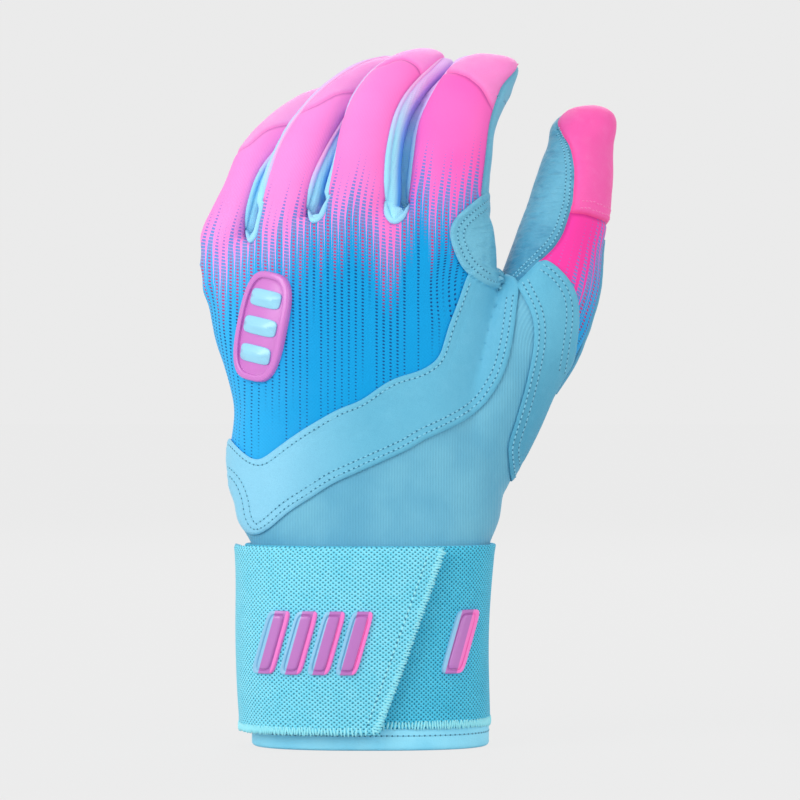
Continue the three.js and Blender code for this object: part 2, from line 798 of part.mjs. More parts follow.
function tipShell(digit) {
  const from = jointAt(digit) + halfGap;
  const inner = digitLoft(digit, from - stallOverrun, digit.length, -panelWall);
  return digitLoft(digit, from, digit.length, 0).subtract(inner).subtract(curlNotch(digit));
}

function buildFinger(name, gussetSides, palmSides) {
  const digit = digits[name];
  const tip = new THREE.Group();
  const shell = tipShell(digit);
  const [from, cap, end] = [jointAt(digit) - digitStep, capAt(digit), digit.length + digitStep];
  const dorsal = dorsalZone(digit, from, end, -halfGap);
  const dorsalWide = dorsalZone(digit, from, end, halfGap);
  const pastCap = beyond(digit, cap, halfGap);
  const pastCapWide = beyond(digit, cap, -halfGap);
  const sides = (hands, grow) => hands.map((hand) => sideZone(digit, hand, from, end, grow));
  const gussets = gussetSides.map((hand) => sideZone(digit, hand, from, end, 0).subtract(pastCapWide));
  const gussetCuts = gussetSides.map((hand) => sideZone(digit, hand, from, end, seamGap).subtract(pastCap));

  place(
    `${name}_tip_back`,
    without(shell.intersect(dorsal), [pastCapWide, ...sides([...gussetSides, ...palmSides], seamGap)]),
    "printedPink",
    tip,
  );
  place(`${name}_tip_cap`, without(shell.intersect(dorsal).intersect(pastCap), sides(palmSides, seamGap)), "pinkLeather", tip);
  place(
    `${name}_tip_palm`,
    without(shell, [without(dorsalWide, sides(palmSides, 0)), ...gussetCuts]),
    "paleLeather",
    tip,
  );
  gussetSides.forEach((hand, k) => {
    const edge = hand > 0 ? "outer" : "inner";
    place(`${name}_tip_gusset_${edge}`, shell.intersect(gussets[k]), "gussetKnit", tip);
  });
  addTip(name, tip);
}

function buildThumbTip() {
  const digit = digits.thumb;
  const tip = new THREE.Group();
  const shell = tipShell(digit);
  const edge = frontPoints(thumbCapEdgeShares);
  const capOutline = [...edge, new THREE.Vector2(farX, edge.at(-1).y), new THREE.Vector2(farX, edge[0].y)];
  const [from, end] = [jointAt(digit) - digitStep, digit.length + digitStep];
  const front = dorsalZone(digit, from, end, digit.halfDepth * thumbCapWrapShare);
  const frontWide = dorsalZone(digit, from, end, digit.halfDepth * thumbCapWrapShare + seamGap);
  place("thumb_tip_cap", shell.intersect(throughPrism(capOutline, -seamGap)).intersect(front), "pinkLeather", tip);
  place("thumb_tip_palm", shell.subtract(throughPrism(capOutline).intersect(frontWide)), "paleLeather", tip);
  addTip("thumb", tip);
}

// Wrist: the cuff, the strap that is sewn round it, and the tab that closes over it

function wristLoft(grow, low, high) {
  const levels = [cuffHeight, strapTop, ...handSectionShares.map((row) => row.height * webHeight)];
  const inside = levels.filter((at) => at > low && at < high).sort((a, b) => a - b);
  const heights = [low, ...inside, high];
  return loft(heights.map((height) => handRing(straightSection(height), grow)));
}

// The strap lies on the wrist without following the flare of the hand above it.
function straightSection(height) {
  const section = handSection(Math.min(Math.max(height, cuffHeight), strapTop));
  return { ...section, height, drop: 0 };
}

function wristLayer(inner, outer, low, high) {
  return wristLoft(outer, low, high).subtract(wristLoft(inner, low - cutOverrun, high + cutOverrun));
}

function buildCuff() {
  const rim = (inset) => handRing({ ...handSection(0), height: inset ? 0 : cuffRound }, -inset);
  const outer = loft([rim(cuffRound), rim(0), handRing(handSection(cuffHeight), 0)]);
  const hollow = (level, height) => handRing({ ...handSection(level), height }, -cuffWall);
  const inner = loft([
    hollow(0, -cutOverrun),
    hollow(0, 0),
    hollow(cuffHeight, cuffHeight),
    hollow(cuffHeight, cuffHeight + cutOverrun),
  ]);
  place("cuff_band", outer.subtract(inner), "neoprene", glove);
}

function buildStrap() {
  const bandOuter = seamGap + bandWall;
  const loopOuter = bandOuter + seamGap + loopWall;
  const hookOuter = loopOuter + seamGap + hookWall;
  const tabInner = hookOuter + seamGap;
  const tabOuter = tabInner + tabWall;
  place("strap_band", wristLayer(seamGap, bandOuter, strapBottom, strapTop), "strapElastic", glove);

  const edge = frontPoints(tabEdgeShares);
  const loopOutline = [
    new THREE.Vector2(-farX, strapTop - patchInset),
    new THREE.Vector2(edge[0].x - patchInset, strapTop - patchInset),
    new THREE.Vector2(edge[1].x - patchInset, strapBottom + patchInset),
    new THREE.Vector2(-farX, strapBottom + patchInset),
  ];
  const front = box(-farX, farX, frontY, tabRootDepth - seamGap, -cutOverrun, highZ);
  const loop = wristLayer(bandOuter + seamGap, loopOuter, strapBottom, strapTop);
  place("loop_patch", loop.intersect(throughPrism(loopOutline)).intersect(front), "neoprene", glove);

  const tab = new THREE.Group();
  const hookLeft = frontPoints([[hookStartShare, 0]])[0].x;
  const hookOutline = [new THREE.Vector2(hookLeft, strapTop - patchInset), ...loopOutline.slice(1, 3), new THREE.Vector2(hookLeft, strapBottom + patchInset)];
  const hook = wristLayer(loopOuter + seamGap, hookOuter, strapBottom, strapTop);
  const nearHalf = box(-farX, farX, frontY, 0, -cutOverrun, highZ);
  place("hook_patch", hook.intersect(throughPrism(hookOutline)).intersect(nearHalf), "neoprene", tab);
  const tabOutline = [
    new THREE.Vector2(-farX, strapTop),
    new THREE.Vector2(edge[0].x, strapTop),
    new THREE.Vector2(edge[1].x, strapBottom),
    new THREE.Vector2(-farX, strapBottom),
  ];
  const tabLayer = wristLayer(tabInner, tabOuter, strapBottom, strapTop);
  place("strap_tab", tabLayer.intersect(throughPrism(tabOutline)).intersect(front), "strapElastic", tab);
  const bars = wristLayer(tabOuter + seamGap, tabOuter + seamGap + barWall, strapBottom, strapTop).intersect(nearHalf);
  tabBarShares.forEach((share, k) => {
    place(`tab_bar_${k + 1}`, bars.intersect(throughPrism(barOutline(share))), "mouldedPurple", tab);
  });
  tab.name = "strap_tab_group";
  tab.userData = { point: tabRoot(tabInner), axis: [0, 0, -1], range: peelRange };
  glove.add(tab);
  const bandBars = wristLayer(bandOuter + seamGap, bandOuter + seamGap + barWall, strapBottom, strapTop).intersect(nearHalf);
  place("band_bar", bandBars.intersect(throughPrism(barOutline(bandBarShare))), "mouldedPurple", glove);
}

// The tab peels from its root on the little-finger side, about an upright line at its inner face.
function tabRoot(grow) {
  const height = (strapBottom + strapTop) / 2;
  const section = straightSection(height);
  const turn = Math.asin(tabRootDepth / (section.halfDepth + grow));
  const [u] = roundedUnit(Math.PI - turn, handSquareness);
  return [section.centre + (section.halfWidth + grow) * u, tabRootDepth, height];
}

function barOutline(share) {
  const [middle] = frontPoints([[share, barMiddleShare]]);
  return [
    [-barHalfWidth - barSlant, -barHalfHeight],
    [barHalfWidth - barSlant, -barHalfHeight],
    [barHalfWidth + barSlant, barHalfHeight],
    [-barHalfWidth + barSlant, barHalfHeight],
  ].map(([x, y]) => new THREE.Vector2(middle.x + x, middle.y + y));
}

// Badge: a rounded lozenge with a raised rim and a fan of ribs in it

function buildBadge() {
  const outline = ovalOutline(badgeCentreShare, badgeHalfWidth, badgeHalfHeight, badgeLean, badgeSquareness, handPoints);
  const front = backHalf(-halfGap);
  const plate = gloveLayer(seamGap, seamGap + badgeWall);
  const rim = gloveLayer(seamGap, seamGap + badgeWall + badgeRibHeight / 2);
  const well = throughPrism(outline, -badgeRim);
  const base = plate.intersect(throughPrism(outline)).add(rim.intersect(throughPrism(outline).subtract(well)));
  place("badge_base", base.intersect(front), "mouldedPurple", glove);
  const ribLayer = gloveLayer(badgeWall + 2 * seamGap, badgeWall + 2 * seamGap + badgeRibHeight);
  for (let k = 0; k < badgeRibCount; k++) {
    const rib = throughPrism(ribOutline(k)).intersect(front);
    place(`badge_rib_${k + 1}`, ribLayer.intersect(rib), "mouldedBlue", glove);
  }
}

function ribOutline(k) {
  const [centre] = frontPoints([badgeCentreShare]);
  const pitch = (2 * (badgeHalfHeight - 2 * badgeRim)) / badgeRibCount;
  const up = (k - (badgeRibCount - 1) / 2) * pitch;
  const width = badgeHalfWidth - 2 * badgeRim;
  const height = pitch / 2 - seamGap;
  const origin = new THREE.Vector2();
  return [
    [-width, -height],
    [width, -height / 2],
    [width, height],
    [-width, height / 2],
  ].map(([x, y]) => new THREE.Vector2(x, up + y).rotateAround(origin, rad(badgeLean)).add(centre));
}

// Piping: a cord sewn into the seam on the outer edge of the thumb

function buildPiping() {
  const digit = digits.thumb;
  const points = stops(...pipingShares.map((share) => share * digit.length), digitStep).map((along) => {
    const station = stationAt(digit, along);
    return stationPoint(station, station.halfWidth + seamGap + pipingRadius, 0);
  });
  const path = new THREE.CatmullRomCurve3(points);
  const section = new THREE.Shape().absarc(0, 0, pipingRadius, 0, 2 * Math.PI);
  const geometry = new THREE.ExtrudeGeometry(section, {
    steps: 2 * points.length,
    curveSegments: 4,
    bevelEnabled: false,
    extrudePath: path,
  });
  place("thumb_piping", solidOf(geometry), "paleLeather", glove);
}

buildHand();
buildFinger("pinky", [1], []);
buildFinger("ring", [-1, 1], []);
buildFinger("middle", [-1, 1], []);
buildFinger("index", [-1], [1]);
buildThumbTip();
buildCuff();
buildStrap();
buildBadge();
buildPiping();

// The origin is under the middle of the glove, on the surface that it stands on.
const bounds = new THREE.Box3().setFromObject(glove);
const centre = bounds.getCenter(new THREE.Vector3());
glove.position.set(-centre.x, -centre.y, -bounds.min.z);

const part = new THREE.Group();
part.add(glove);

export default part;
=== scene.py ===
import bpy
import bmesh
import functools
import json
import math
import random
import numpy as np
from mathutils import Vector, Matrix
from mathutils.bvhtree import BVHTree
from mathutils.kdtree import KDTree

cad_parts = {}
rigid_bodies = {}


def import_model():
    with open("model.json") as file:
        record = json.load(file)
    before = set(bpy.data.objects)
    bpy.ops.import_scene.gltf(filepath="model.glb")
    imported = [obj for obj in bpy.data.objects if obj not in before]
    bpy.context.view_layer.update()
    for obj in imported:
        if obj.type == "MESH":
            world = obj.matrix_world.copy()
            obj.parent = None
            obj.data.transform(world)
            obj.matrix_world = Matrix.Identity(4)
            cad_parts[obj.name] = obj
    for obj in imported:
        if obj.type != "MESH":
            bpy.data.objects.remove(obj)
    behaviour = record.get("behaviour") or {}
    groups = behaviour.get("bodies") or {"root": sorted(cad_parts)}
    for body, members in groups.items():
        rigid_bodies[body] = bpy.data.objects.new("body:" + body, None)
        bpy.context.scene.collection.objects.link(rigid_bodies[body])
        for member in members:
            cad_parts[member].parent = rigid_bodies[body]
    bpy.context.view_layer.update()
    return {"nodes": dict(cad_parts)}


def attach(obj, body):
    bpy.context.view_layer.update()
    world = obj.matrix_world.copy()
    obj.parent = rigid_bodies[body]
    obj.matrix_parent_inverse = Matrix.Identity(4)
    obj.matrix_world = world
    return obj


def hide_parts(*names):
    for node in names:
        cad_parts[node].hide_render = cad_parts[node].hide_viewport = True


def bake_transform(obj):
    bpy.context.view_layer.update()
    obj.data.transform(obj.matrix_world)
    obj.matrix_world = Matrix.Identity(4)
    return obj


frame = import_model()
random.seed(11)
mm = 0.001
scene = bpy.context.scene

# the glove's middle, so that the shapes below are in the same frame as the model
gloveShift = np.array([-0.222, -10.385, 0.0])

# camera where the photograph was taken from: level, 1.4 m away
photo = {"distance": 1400.0, "height": 118.7, "mmPerPixel": 0.345, "middle": 400.0, "across": -0.345}


def makeCamera():
    data = bpy.data.cameras.new("photoCamera")
    data.sensor_width = 36
    data.lens = 36 * photo["distance"] / (800 * photo["mmPerPixel"])
    data.clip_start, data.clip_end = 0.05, 20
    camera = bpy.data.objects.new("photoCamera", data)
    camera.location = ((photo["across"] + gloveShift[0]) * mm, (gloveShift[1] - photo["distance"]) * mm,
                       photo["height"] * mm)
    camera.rotation_euler = (math.pi / 2, 0, 0)
    scene.collection.objects.link(camera)
    scene.camera = camera


makeCamera()


def photoPixels(points):
    # where points in glove millimetres fall in the photograph
    away = (photo["distance"] + points[:, 1]) / photo["distance"] * photo["mmPerPixel"]
    across = photo["middle"] + (points[:, 0] - photo["across"]) / away
    down = photo["middle"] - (points[:, 2] - photo["height"]) / away
    return np.stack([across, down], axis=1)


# ---- the filled hand: sections and digits, millimetres
hand = {
    "webHeight": 184.0, "halfWidth": 51.0, "halfDepth": 27.0, "recede": 25.0, "drop": 14.0, "squareness": 2.5,
    # height, centre, half width, half depth, recede, drop, as shares
    "rows": [
        (0.0, -0.19, 0.735, 0.93, 0.0, 0), (0.05, -0.205, 0.755, 0.97, 0.0, 0), (0.2, -0.22, 0.761, 1.0, 0.02, 0),
        (0.365, -0.206, 0.788, 0.98, 0.06, 0), (0.392, -0.214, 0.836, 0.94, 0.08, 0),
        (0.435, -0.216, 0.892, 0.88, 0.12, 0), (0.54, -0.243, 0.925, 0.77, 0.26, 0),
        (0.68, -0.266, 0.92, 0.69, 0.52, 0), (0.79, -0.312, 0.96, 0.64, 0.76, 0.1),
        (0.865, -0.345, 0.99, 0.59, 0.92, 0.3), (0.93, -0.355, 0.985, 0.51, 1.0, 0.7),
        (0.975, -0.355, 0.955, 0.4, 1.0, 0.95), (1.0, -0.355, 0.9, 0.2, 1.0, 1),
    ],
}
digits = {
    "index": {
        "knuckle": (13.5, 0, 155), "length": 92, "curlYaw": 38, "sectionYaw": 12, "lean": 1.5, "tilt": (8, 62),
        "halfWidth": 13.2, "halfDepth": 12.6, "tipRound": 11, "bend": (0.54, 0.95),
        "widths": [(0, 1), (0.54, 0.97), (0.78, 0.92), (0.89, 0.81), (1, 0.7)], "joint": 0.5, "base": 30,
    },
    "middle": {
        "knuckle": (-19.5, -1, 155), "length": 104, "curlYaw": 36, "sectionYaw": 14, "lean": 3.5, "tilt": (11, 74),
        "halfWidth": 11.6, "halfDepth": 12.4, "tipRound": 11, "bend": (0.44, 0.94),
        "widths": [(0, 1), (0.44, 0.97), (0.8, 0.91), (0.9, 0.81), (1, 0.7)], "joint": 0.48, "base": 33,
    },
    "ring": {
        "knuckle": (-46, 7.5, 150), "length": 110, "curlYaw": 41, "sectionYaw": 18, "lean": 3, "tilt": (15, 70),
        "halfWidth": 11, "halfDepth": 12, "tipRound": 10.5, "bend": (0.42, 0.91),
        "widths": [(0, 1), (0.42, 0.96), (0.82, 0.9), (0.91, 0.79), (1, 0.7)], "joint": 0.48, "base": 36,
    },
    "pinky": {
        "knuckle": (-64.5, 23, 163), "length": 86, "curlYaw": 42, "sectionYaw": 32, "lean": 8, "tilt": (18, 64),
        "halfWidth": 9.6, "halfDepth": 10.6, "tipRound": 9.5, "bend": (0.25, 0.9),
        "widths": [(0, 0.96), (0.27, 0.97), (0.77, 0.91), (0.89, 0.78), (1, 0.7)], "joint": 0.4, "base": 17,
        "root": (-56, 19, 141), "rootShare": 0.8,
    },
    "thumb": {
        "knuckle": (20.5, 2, 94.5), "length": 140, "curlYaw": -37, "sectionYaw": -37, "lean": 23, "tilt": (-12, 12),
        "halfWidth": 18, "halfDepth": 17, "tipRound": 13, "bend": (0.28, 0.86),
        "widths": [(0, 0.95), (0.2, 1), (0.38, 1), (0.52, 0.92), (0.66, 0.82), (0.82, 0.71), (0.9, 0.6), (1, 0.55)],
        "joint": 0.68, "base": 66,
    },
}
fingerNames = ["pinky", "ring", "middle", "index"]
digitNames = fingerNames + ["thumb"]


def smoothCurve(places, values, at):
    # a monotone cubic through a few given values
    x, y = np.array(places, float), np.array(values, float)
    step, rise = np.diff(x), np.diff(y) / np.diff(x)
    slope = np.zeros(len(x))
    slope[0], slope[-1] = rise[0], rise[-1]
    for k in range(1, len(x) - 1):
        if rise[k - 1] * rise[k] > 0:
            a, b = 2 * step[k] + step[k - 1], step[k] + 2 * step[k - 1]
            slope[k] = (a + b) / (a / rise[k - 1] + b / rise[k])
    at = np.clip(np.asarray(at, float), x[0], x[-1])
    k = np.clip(np.searchsorted(x, at, side="right") - 1, 0, len(x) - 2)
    t = (at - x[k]) / step[k]
    return ((1 + 2 * t) * (1 - t) ** 2 * y[k] + t * (1 - t) ** 2 * step[k] * slope[k]
            + t * t * (3 - 2 * t) * y[k + 1] + t * t * (t - 1) * step[k] * slope[k + 1])


def smoothStep(x, low, high):
    t = np.clip((np.asarray(x, float) - low) / (high - low), 0, 1)
    return t * t * (3 - 2 * t)


def handAt(height):
    share = np.asarray(height, float) / hand["webHeight"]
    table = np.array(hand["rows"])
    column = lambda k: smoothCurve(table[:, 0], table[:, k], share)
    return {
        "centre": column(1) * hand["halfWidth"], "halfWidth": column(2) * hand["halfWidth"],
        "halfDepth": column(3) * hand["halfDepth"], "recede": column(4) * hand["recede"],
        "drop": column(5) * hand["drop"],
    }


def handRing(height, count, grow=0.0, level=None):
    s = handAt(height)
    turn = np.linspace(0, 2 * np.pi, count, endpoint=False)
    power = 2 / hand["squareness"]
    u = np.sign(np.cos(turn)) * np.abs(np.cos(turn)) ** power
    v = np.sign(np.sin(turn)) * np.abs(np.sin(turn)) ** power
    back = np.maximum(0, -u) ** 2
    z = np.full(count, float(height if level is None else level)) - s["drop"] * back
    return np.stack([s["centre"] + (s["halfWidth"] + grow) * u,
                     (s["halfDepth"] + grow) * v + s["recede"] * back, z], axis=1)


class Digit:
    # the centre line of a digit, with its section frame every half millimetre

    def __init__(self, name):
        self.name = name
        d = self.values = digits[name]
        self.length = d["length"]
        self.along = np.arange(0, self.length + 0.25, 0.5)
        yaw, lean = math.radians(d["curlYaw"]), math.radians(d["lean"])
        up = np.array([0, 0, 1.0])
        across = np.array([math.cos(yaw), -math.sin(yaw), 0])
        curl = np.array([math.sin(yaw), math.cos(yaw), 0])
        axis = up * math.cos(lean) + across * math.sin(lean)
        share = self.along / self.length
        tilt = np.radians(d["tilt"][0] + (d["tilt"][1] - d["tilt"][0]) * smoothStep(share, *d["bend"]))
        self.direction = np.cos(tilt)[:, None] * axis + np.sin(tilt)[:, None] * curl
        middle = (self.direction[1:] + self.direction[:-1]) / 2 * 0.5
        self.centre = np.array(d["knuckle"], float) + np.vstack([np.zeros(3), np.cumsum(middle, axis=0)])
        turn = math.radians(d["sectionYaw"])
        side = np.array([math.cos(turn) * math.cos(lean), -math.sin(turn) * math.cos(lean), -math.sin(lean)])
        side = side - (self.direction @ side)[:, None] * self.direction
        self.side = side / np.linalg.norm(side, axis=1)[:, None]
        self.palm = np.cross(self.direction, self.side)
        width = smoothCurve(*zip(*d["widths"]), share)
        self.halfWidth, self.halfDepth = d["halfWidth"] * width, d["halfDepth"] * width

    def ring(self, k, count, scale=1.0, push=0.0, centre=None):
        turn = np.linspace(0, 2 * np.pi, count, endpoint=False)
        u = np.sign(np.cos(turn)) * np.abs(np.cos(turn)) ** 0.91
        v = np.sign(np.sin(turn)) * np.abs(np.sin(turn)) ** 0.91
        middle = self.centre[k] if centre is None else centre
        return (middle + push * self.direction[k] + np.outer(self.halfWidth[k] * scale * u, self.side[k])
                + np.outer(self.halfDepth[k] * scale * v, self.palm[k]))

    def locate(self, points):
        # the place along the digit, and across and deep, of each point
        best = np.zeros(len(points), int)
        for start in range(0, len(points), 20000):
            part = points[start:start + 20000]
            away = ((part[:, None, :] - self.centre[None, ::4, :]) ** 2).sum(axis=2)
            best[start:start + 20000] = away.argmin(axis=1) * 4
        near = best
        for k in range(2):
            past = ((points - self.centre[near]) * self.direction[near]).sum(axis=1)
            near = np.clip(near + np.round(past / 0.5).astype(int), 0, len(self.along) - 1)
        offset = points - self.centre[near]
        past = (offset * self.direction[near]).sum(axis=1)
        across = (offset * self.side[near]).sum(axis=1)
        depth = (offset * self.palm[near]).sum(axis=1)
        radial = np.sqrt((across / self.halfWidth[near]) ** 2 + (depth / self.halfDepth[near]) ** 2
                         + (past / self.halfDepth[near]) ** 2)
        return {"along": self.along[near] + past, "across": across / self.halfWidth[near],
                "depth": depth, "halfDepth": self.halfDepth[near], "radial": radial}


limbs = {name: Digit(name) for name in digitNames}


def layRings(bm, rings):
    # the edges of each ring of points
    loops = []
    for points in rings:
        made = bmesh.ops.create_circle(bm, segments=len(points), radius=1, cap_ends=False)["verts"]
        for vertex, point in zip(made, points):
            vertex.co = point
        loops.append(list({e for v in made for e in v.link_edges}))
    return loops


def bridgeRings(bm, loops, closed=False):
    for a, b in zip(loops, loops[1:] + loops[:1] if closed else loops[1:]):
        bmesh.ops.bridge_loops(bm, edges=a + b)


def loftRings(bm, rings):
    # a closed skin through rings of points
    edges = layRings(bm, rings)
    bridgeRings(bm, edges)
    for ends in (edges[0], edges[-1]):
        bmesh.ops.holes_fill(bm, edges=[e for e in ends if e.is_boundary], sides=0)


def newObject(name, bm):
    mesh = bpy.data.meshes.new(name)
    bm.to_mesh(mesh)
    bm.free()
    made = bpy.data.objects.new(name, mesh)
    scene.collection.objects.link(made)
    return made


def smoothObject(name, bm):
    piece = newObject(name, bm)
    piece.data.shade_smooth()
    return piece


form = {"voxel": 1.1, "smoothing": 14}


def makeForm():
    # hand and digits as overlapping skins, joined by a voxel remesh and smoothed
    bm = bmesh.new()
    heights = np.concatenate([np.arange(2, 180, 4.0), [181, 182.6, 184]])
    loftRings(bm, [handRing(h, 96) for h in heights])
    for limb in limbs.values():
        d = limb.values
        roundFrom = limb.length - d["tipRound"]
        rings = []
        if "root" in d:
            rings.append(limb.ring(0, 64, d["rootShare"], centre=np.array(d["root"], float)))
        else:
            rings += [limb.ring(0, 64, 0.35, -6), limb.ring(0, 64, 0.8, -4)]
        rings += [limb.ring(int(a * 2), 64) for a in np.arange(0, roundFrom, 3.0)]
        for share in np.linspace(0, 0.985, 9):
            k = min(int((roundFrom + share * d["tipRound"]) * 2), len(limb.along) - 1)
            rings.append(limb.ring(k, 64, math.sqrt(1 - share * share)))
        loftRings(bm, rings)
    bmesh.ops.recalc_face_normals(bm, faces=bm.faces)
    made = newObject("form", bm)
    remesh = made.modifiers.new("Remesh", "REMESH")
    remesh.mode, remesh.voxel_size = "VOXEL", form["voxel"]
    smooth = made.modifiers.new("Smooth", "SMOOTH")
    smooth.factor, smooth.iterations = 0.5, form["smoothing"]
    graph = bpy.context.evaluated_depsgraph_get()
    mesh = bpy.data.meshes.new_from_object(made.evaluated_get(graph))
    bpy.data.objects.remove(made)
    return mesh


formMesh = makeForm()
print("form", len(formMesh.vertices), "points")


# ---- seams of the digits: distance along the digit, angle round it (0 at the middle of the back, + to the right)
seams = {
    "index": {
        "left": [(16, -125), (20, -96), (24, -79), (30, -76), (44, -76), (54, -75), (62, -71), (68, -63), (75, -50),
                 (84, -38), (92, -30)],
        "right": [(10, 64), (40, 68), (54, 70), (66, 70), (78, 66), (92, 58)],
        "cap": [(-80, 74), (-49, 73), (0, 71.3), (30, 69.6), (62, 66.3), (90, 65)],
    },
    "middle": {
        "left": [(14, -125), (19, -90), (23, -72), (28, -67), (46, -70), (56, -67), (64, -60), (75, -46), (82, -38),
                 (104, -20)],
        "right": [(20, 125), (25, 95), (29, 70), (34, 58), (39, 54), (49, 54), (62, 53), (76, 55), (82, 54),
                  (92, 46), (104, 30)],
        "cap": [(-80, 74), (-20, 77), (-8, 79.5), (3, 80.9), (35, 81.2), (60, 80), (90, 80)],
    },
    "ring": {
        "left": [(14, -125), (19, -90), (23, -68), (33, -52), (49, -50), (57, -49), (66, -41), (75, -27), (88, -14),
                 (110, 0)],
        "right": [(24, 125), (29, 90), (32, 68), (37, 54), (46, 52), (56, 56), (65, 58), (74, 54), (84, 49), (96, 43),
                  (110, 28)],
        "cap": [(-80, 64), (-40, 66), (-8, 69), (15, 74), (35, 77), (50, 79), (90, 80)],
    },
    "pinky": {
        "left": [(-5, -200), (86, -200)],
        "right": [(5, 125), (10, 96), (14, 78), (23, 57), (36, 49), (44, 48), (56, 38), (70, 26), (86, 10)],
        "cap": [(-90, 39), (-60, 40), (-11, 43.5), (1, 48.5), (21, 52.8), (39, 55.5), (90, 58)],
    },
    "thumb": {
        "left": [(40, -88), (58, -78), (65.5, -70), (71, -59), (76, -48), (81, -39), (87, -34), (96, -33), (102, -36),
                 (108, -40), (114, -48), (119, -58), (126, -80), (132, -98), (140, -112)],
        "right": [(40, 54), (63, 53), (77, 51), (90, 50), (96, 62), (102, 95), (140, 112)],
        "cap": [(-60, 93), (-32, 93.4), (-12, 94.7), (12, 95.8), (52, 98), (110, 99)],
    },
}
palmAngle = 115.0  # where the gussets end and the palm leather begins

# ---- lines on the back of the hand, as pixels of the photograph
lines = {
    "stripTop": [(472, 266), (464, 283), (461, 292), (455, 309), (447, 330), (440, 355), (432, 364), (420, 371),
                 (391, 380), (360, 401), (339, 409), (305, 429), (282, 445), (261, 461), (254, 460), (242, 451),
                 (232, 440),
                 (214, 424)],
    "stripBottom": [(210, 468), (229, 483), (237, 502), (239, 518), (247, 533), (257, 536), (270, 529), (288, 513),
                    (305, 502), (328, 487), (339, 481), (408, 450), (420, 442), (456, 425), (479, 410), (491, 396),
                    (504, 373), (511, 348), (515, 325), (517, 307), (519, 293), (520, 280), (509, 275),
                    (496, 273), (482, 266)],
    "wrapLeft": [(488, 190), (477, 199), (463, 210), (452, 222), (449, 234), (451, 245), (456, 258), (463, 270),
                 (472, 278), (481, 285), (492, 290), (504, 291)],
    "wrapRight": [(505, 287), (499, 275), (497, 262), (498, 248), (499, 224), (497, 204), (494, 192)],
    "saddleLeft": [(516, 282), (525, 299), (532, 315), (534, 334), (532, 353), (527, 376), (521, 400), (514, 423),
                   (507, 446), (508, 462), (511, 484)],
    "saddleRight": [(543, 258), (555, 265), (566, 276), (574, 289), (578, 305), (578, 321), (576, 338), (573, 359),
                    (570, 376)],
    "panelSeam": [(150, 430), (200, 450), (240, 480), (262, 500), (330, 447), (400, 415), (435, 400), (470, 350),
                  (490, 300), (500, 285), (530, 270)],
}
areas = {
    "strip": lines["stripTop"] + lines["stripBottom"],
    "wrap": lines["wrapLeft"] + lines["wrapRight"],
    "saddle": lines["saddleLeft"] + [(530, 500), (600, 400)] + lines["saddleRight"][::-1] + [(530, 268)],
    "print": lines["panelSeam"] + [(620, 230), (620, 0), (150, 0)],
    "thumbPrint": [(536, 272), (552, 284), (564, 302), (566, 330), (562, 366), (560, 390), (680, 390), (680, 60),
                   (560, 60), (536, 180)],
    "webPinkyRing": [(262, 150), (254, 193), (250, 211), (248, 221), (247, 230), (246.5, 237), (250, 242), (254, 238),
                     (258, 221), (260.5, 211), (262.5, 202), (266, 190), (272, 169), (278, 150)],
    "webRingMiddle": [(322, 150), (317, 175), (312, 193), (311, 200), (309.5, 209), (309.5, 216), (312, 221),
                      (316, 221), (320, 217), (323.5, 211.5), (325.7, 204), (329, 195), (332.3, 179), (338, 152)],
    "webMiddleIndex": [(390, 150), (388, 167), (386.5, 183), (386, 193), (386, 203), (387, 213), (390, 220),
                       (394, 223), (400, 220), (405, 213), (408, 206), (409.5, 197), (410, 188), (412, 171),
                       (415, 150)],
    "crotch": [(480, 150), (494, 240), (504, 291), (517, 285), (531, 270), (545, 257), (557, 245), (567, 229),
               (571, 205), (560, 120)],
}
webs = ["webPinkyRing", "webRingMiddle", "webMiddleIndex"]
# the place between index finger and thumb: right of and above these pixels
crotchCorner = {"px": 464, "py": 314}


def smoothLine(points, step, closed=False, relax=0):
    # a rounded line through given points, with even steps; relax evens it out further
    p = np.array(points, float)
    if closed:
        p = np.vstack([p[-1], p, p[0], p[1]])
    else:
        p = np.vstack([2 * p[0] - p[1], p, 2 * p[-1] - p[-2]])
    out = []
    for a, b, c, d in zip(p[:-3], p[1:-2], p[2:-1], p[3:]):
        count = max(2, int(np.linalg.norm(c - b) / step))
        t = (np.arange(count) / count)[:, None]
        out.append(0.5 * (2 * b + (c - a) * t + (2 * a - 5 * b + 4 * c - d) * t * t
                          + (3 * b - a - 3 * c + d) * t ** 3))
    if not closed:
        out.append(p[-2:-1])
    line = np.vstack(out)
    for k in range(relax):
        if closed:
            line = (np.roll(line, 1, axis=0) + 2 * line + np.roll(line, -1, axis=0)) / 4
        else:
            line[1:-1] = (line[:-2] + 2 * line[1:-1] + line[2:]) / 4
    return line


def outlineOf(name):
    return smoothLine(areas[name], 3, closed=True, relax=9 if name in ("strip", "wrap", "saddle") else 0)


def insideDistance(points, outline):
    # distance from an outline, in pixels: negative inside it
    best = np.full(len(points), 1e9)
    inside = np.zeros(len(points), bool)
    low, high = outline.min(axis=0) - 25, outline.max(axis=0) + 25
    near = np.where(np.all((points > low) & (points < high), axis=1))[0]
    x, y = points[near, 0], points[near, 1]
    for a, b in zip(outline, np.roll(outline, -1, axis=0)):
        way = b - a
        t = np.clip(((x - a[0]) * way[0] + (y - a[1]) * way[1]) / max(way @ way, 1e-9), 0, 1)
        gap = np.hypot(x - a[0] - t * way[0], y - a[1] - t * way[1])
        best[near] = np.minimum(best[near], gap)
        if a[1] != b[1]:
            crosses = ((a[1] > y) != (b[1] > y)) & (x < (b[0] - a[0]) * (y - a[1]) / (b[1] - a[1]) + a[0])
            inside[near] ^= crosses
    best = np.minimum(best, 60)
    return np.where(inside, -best, best)


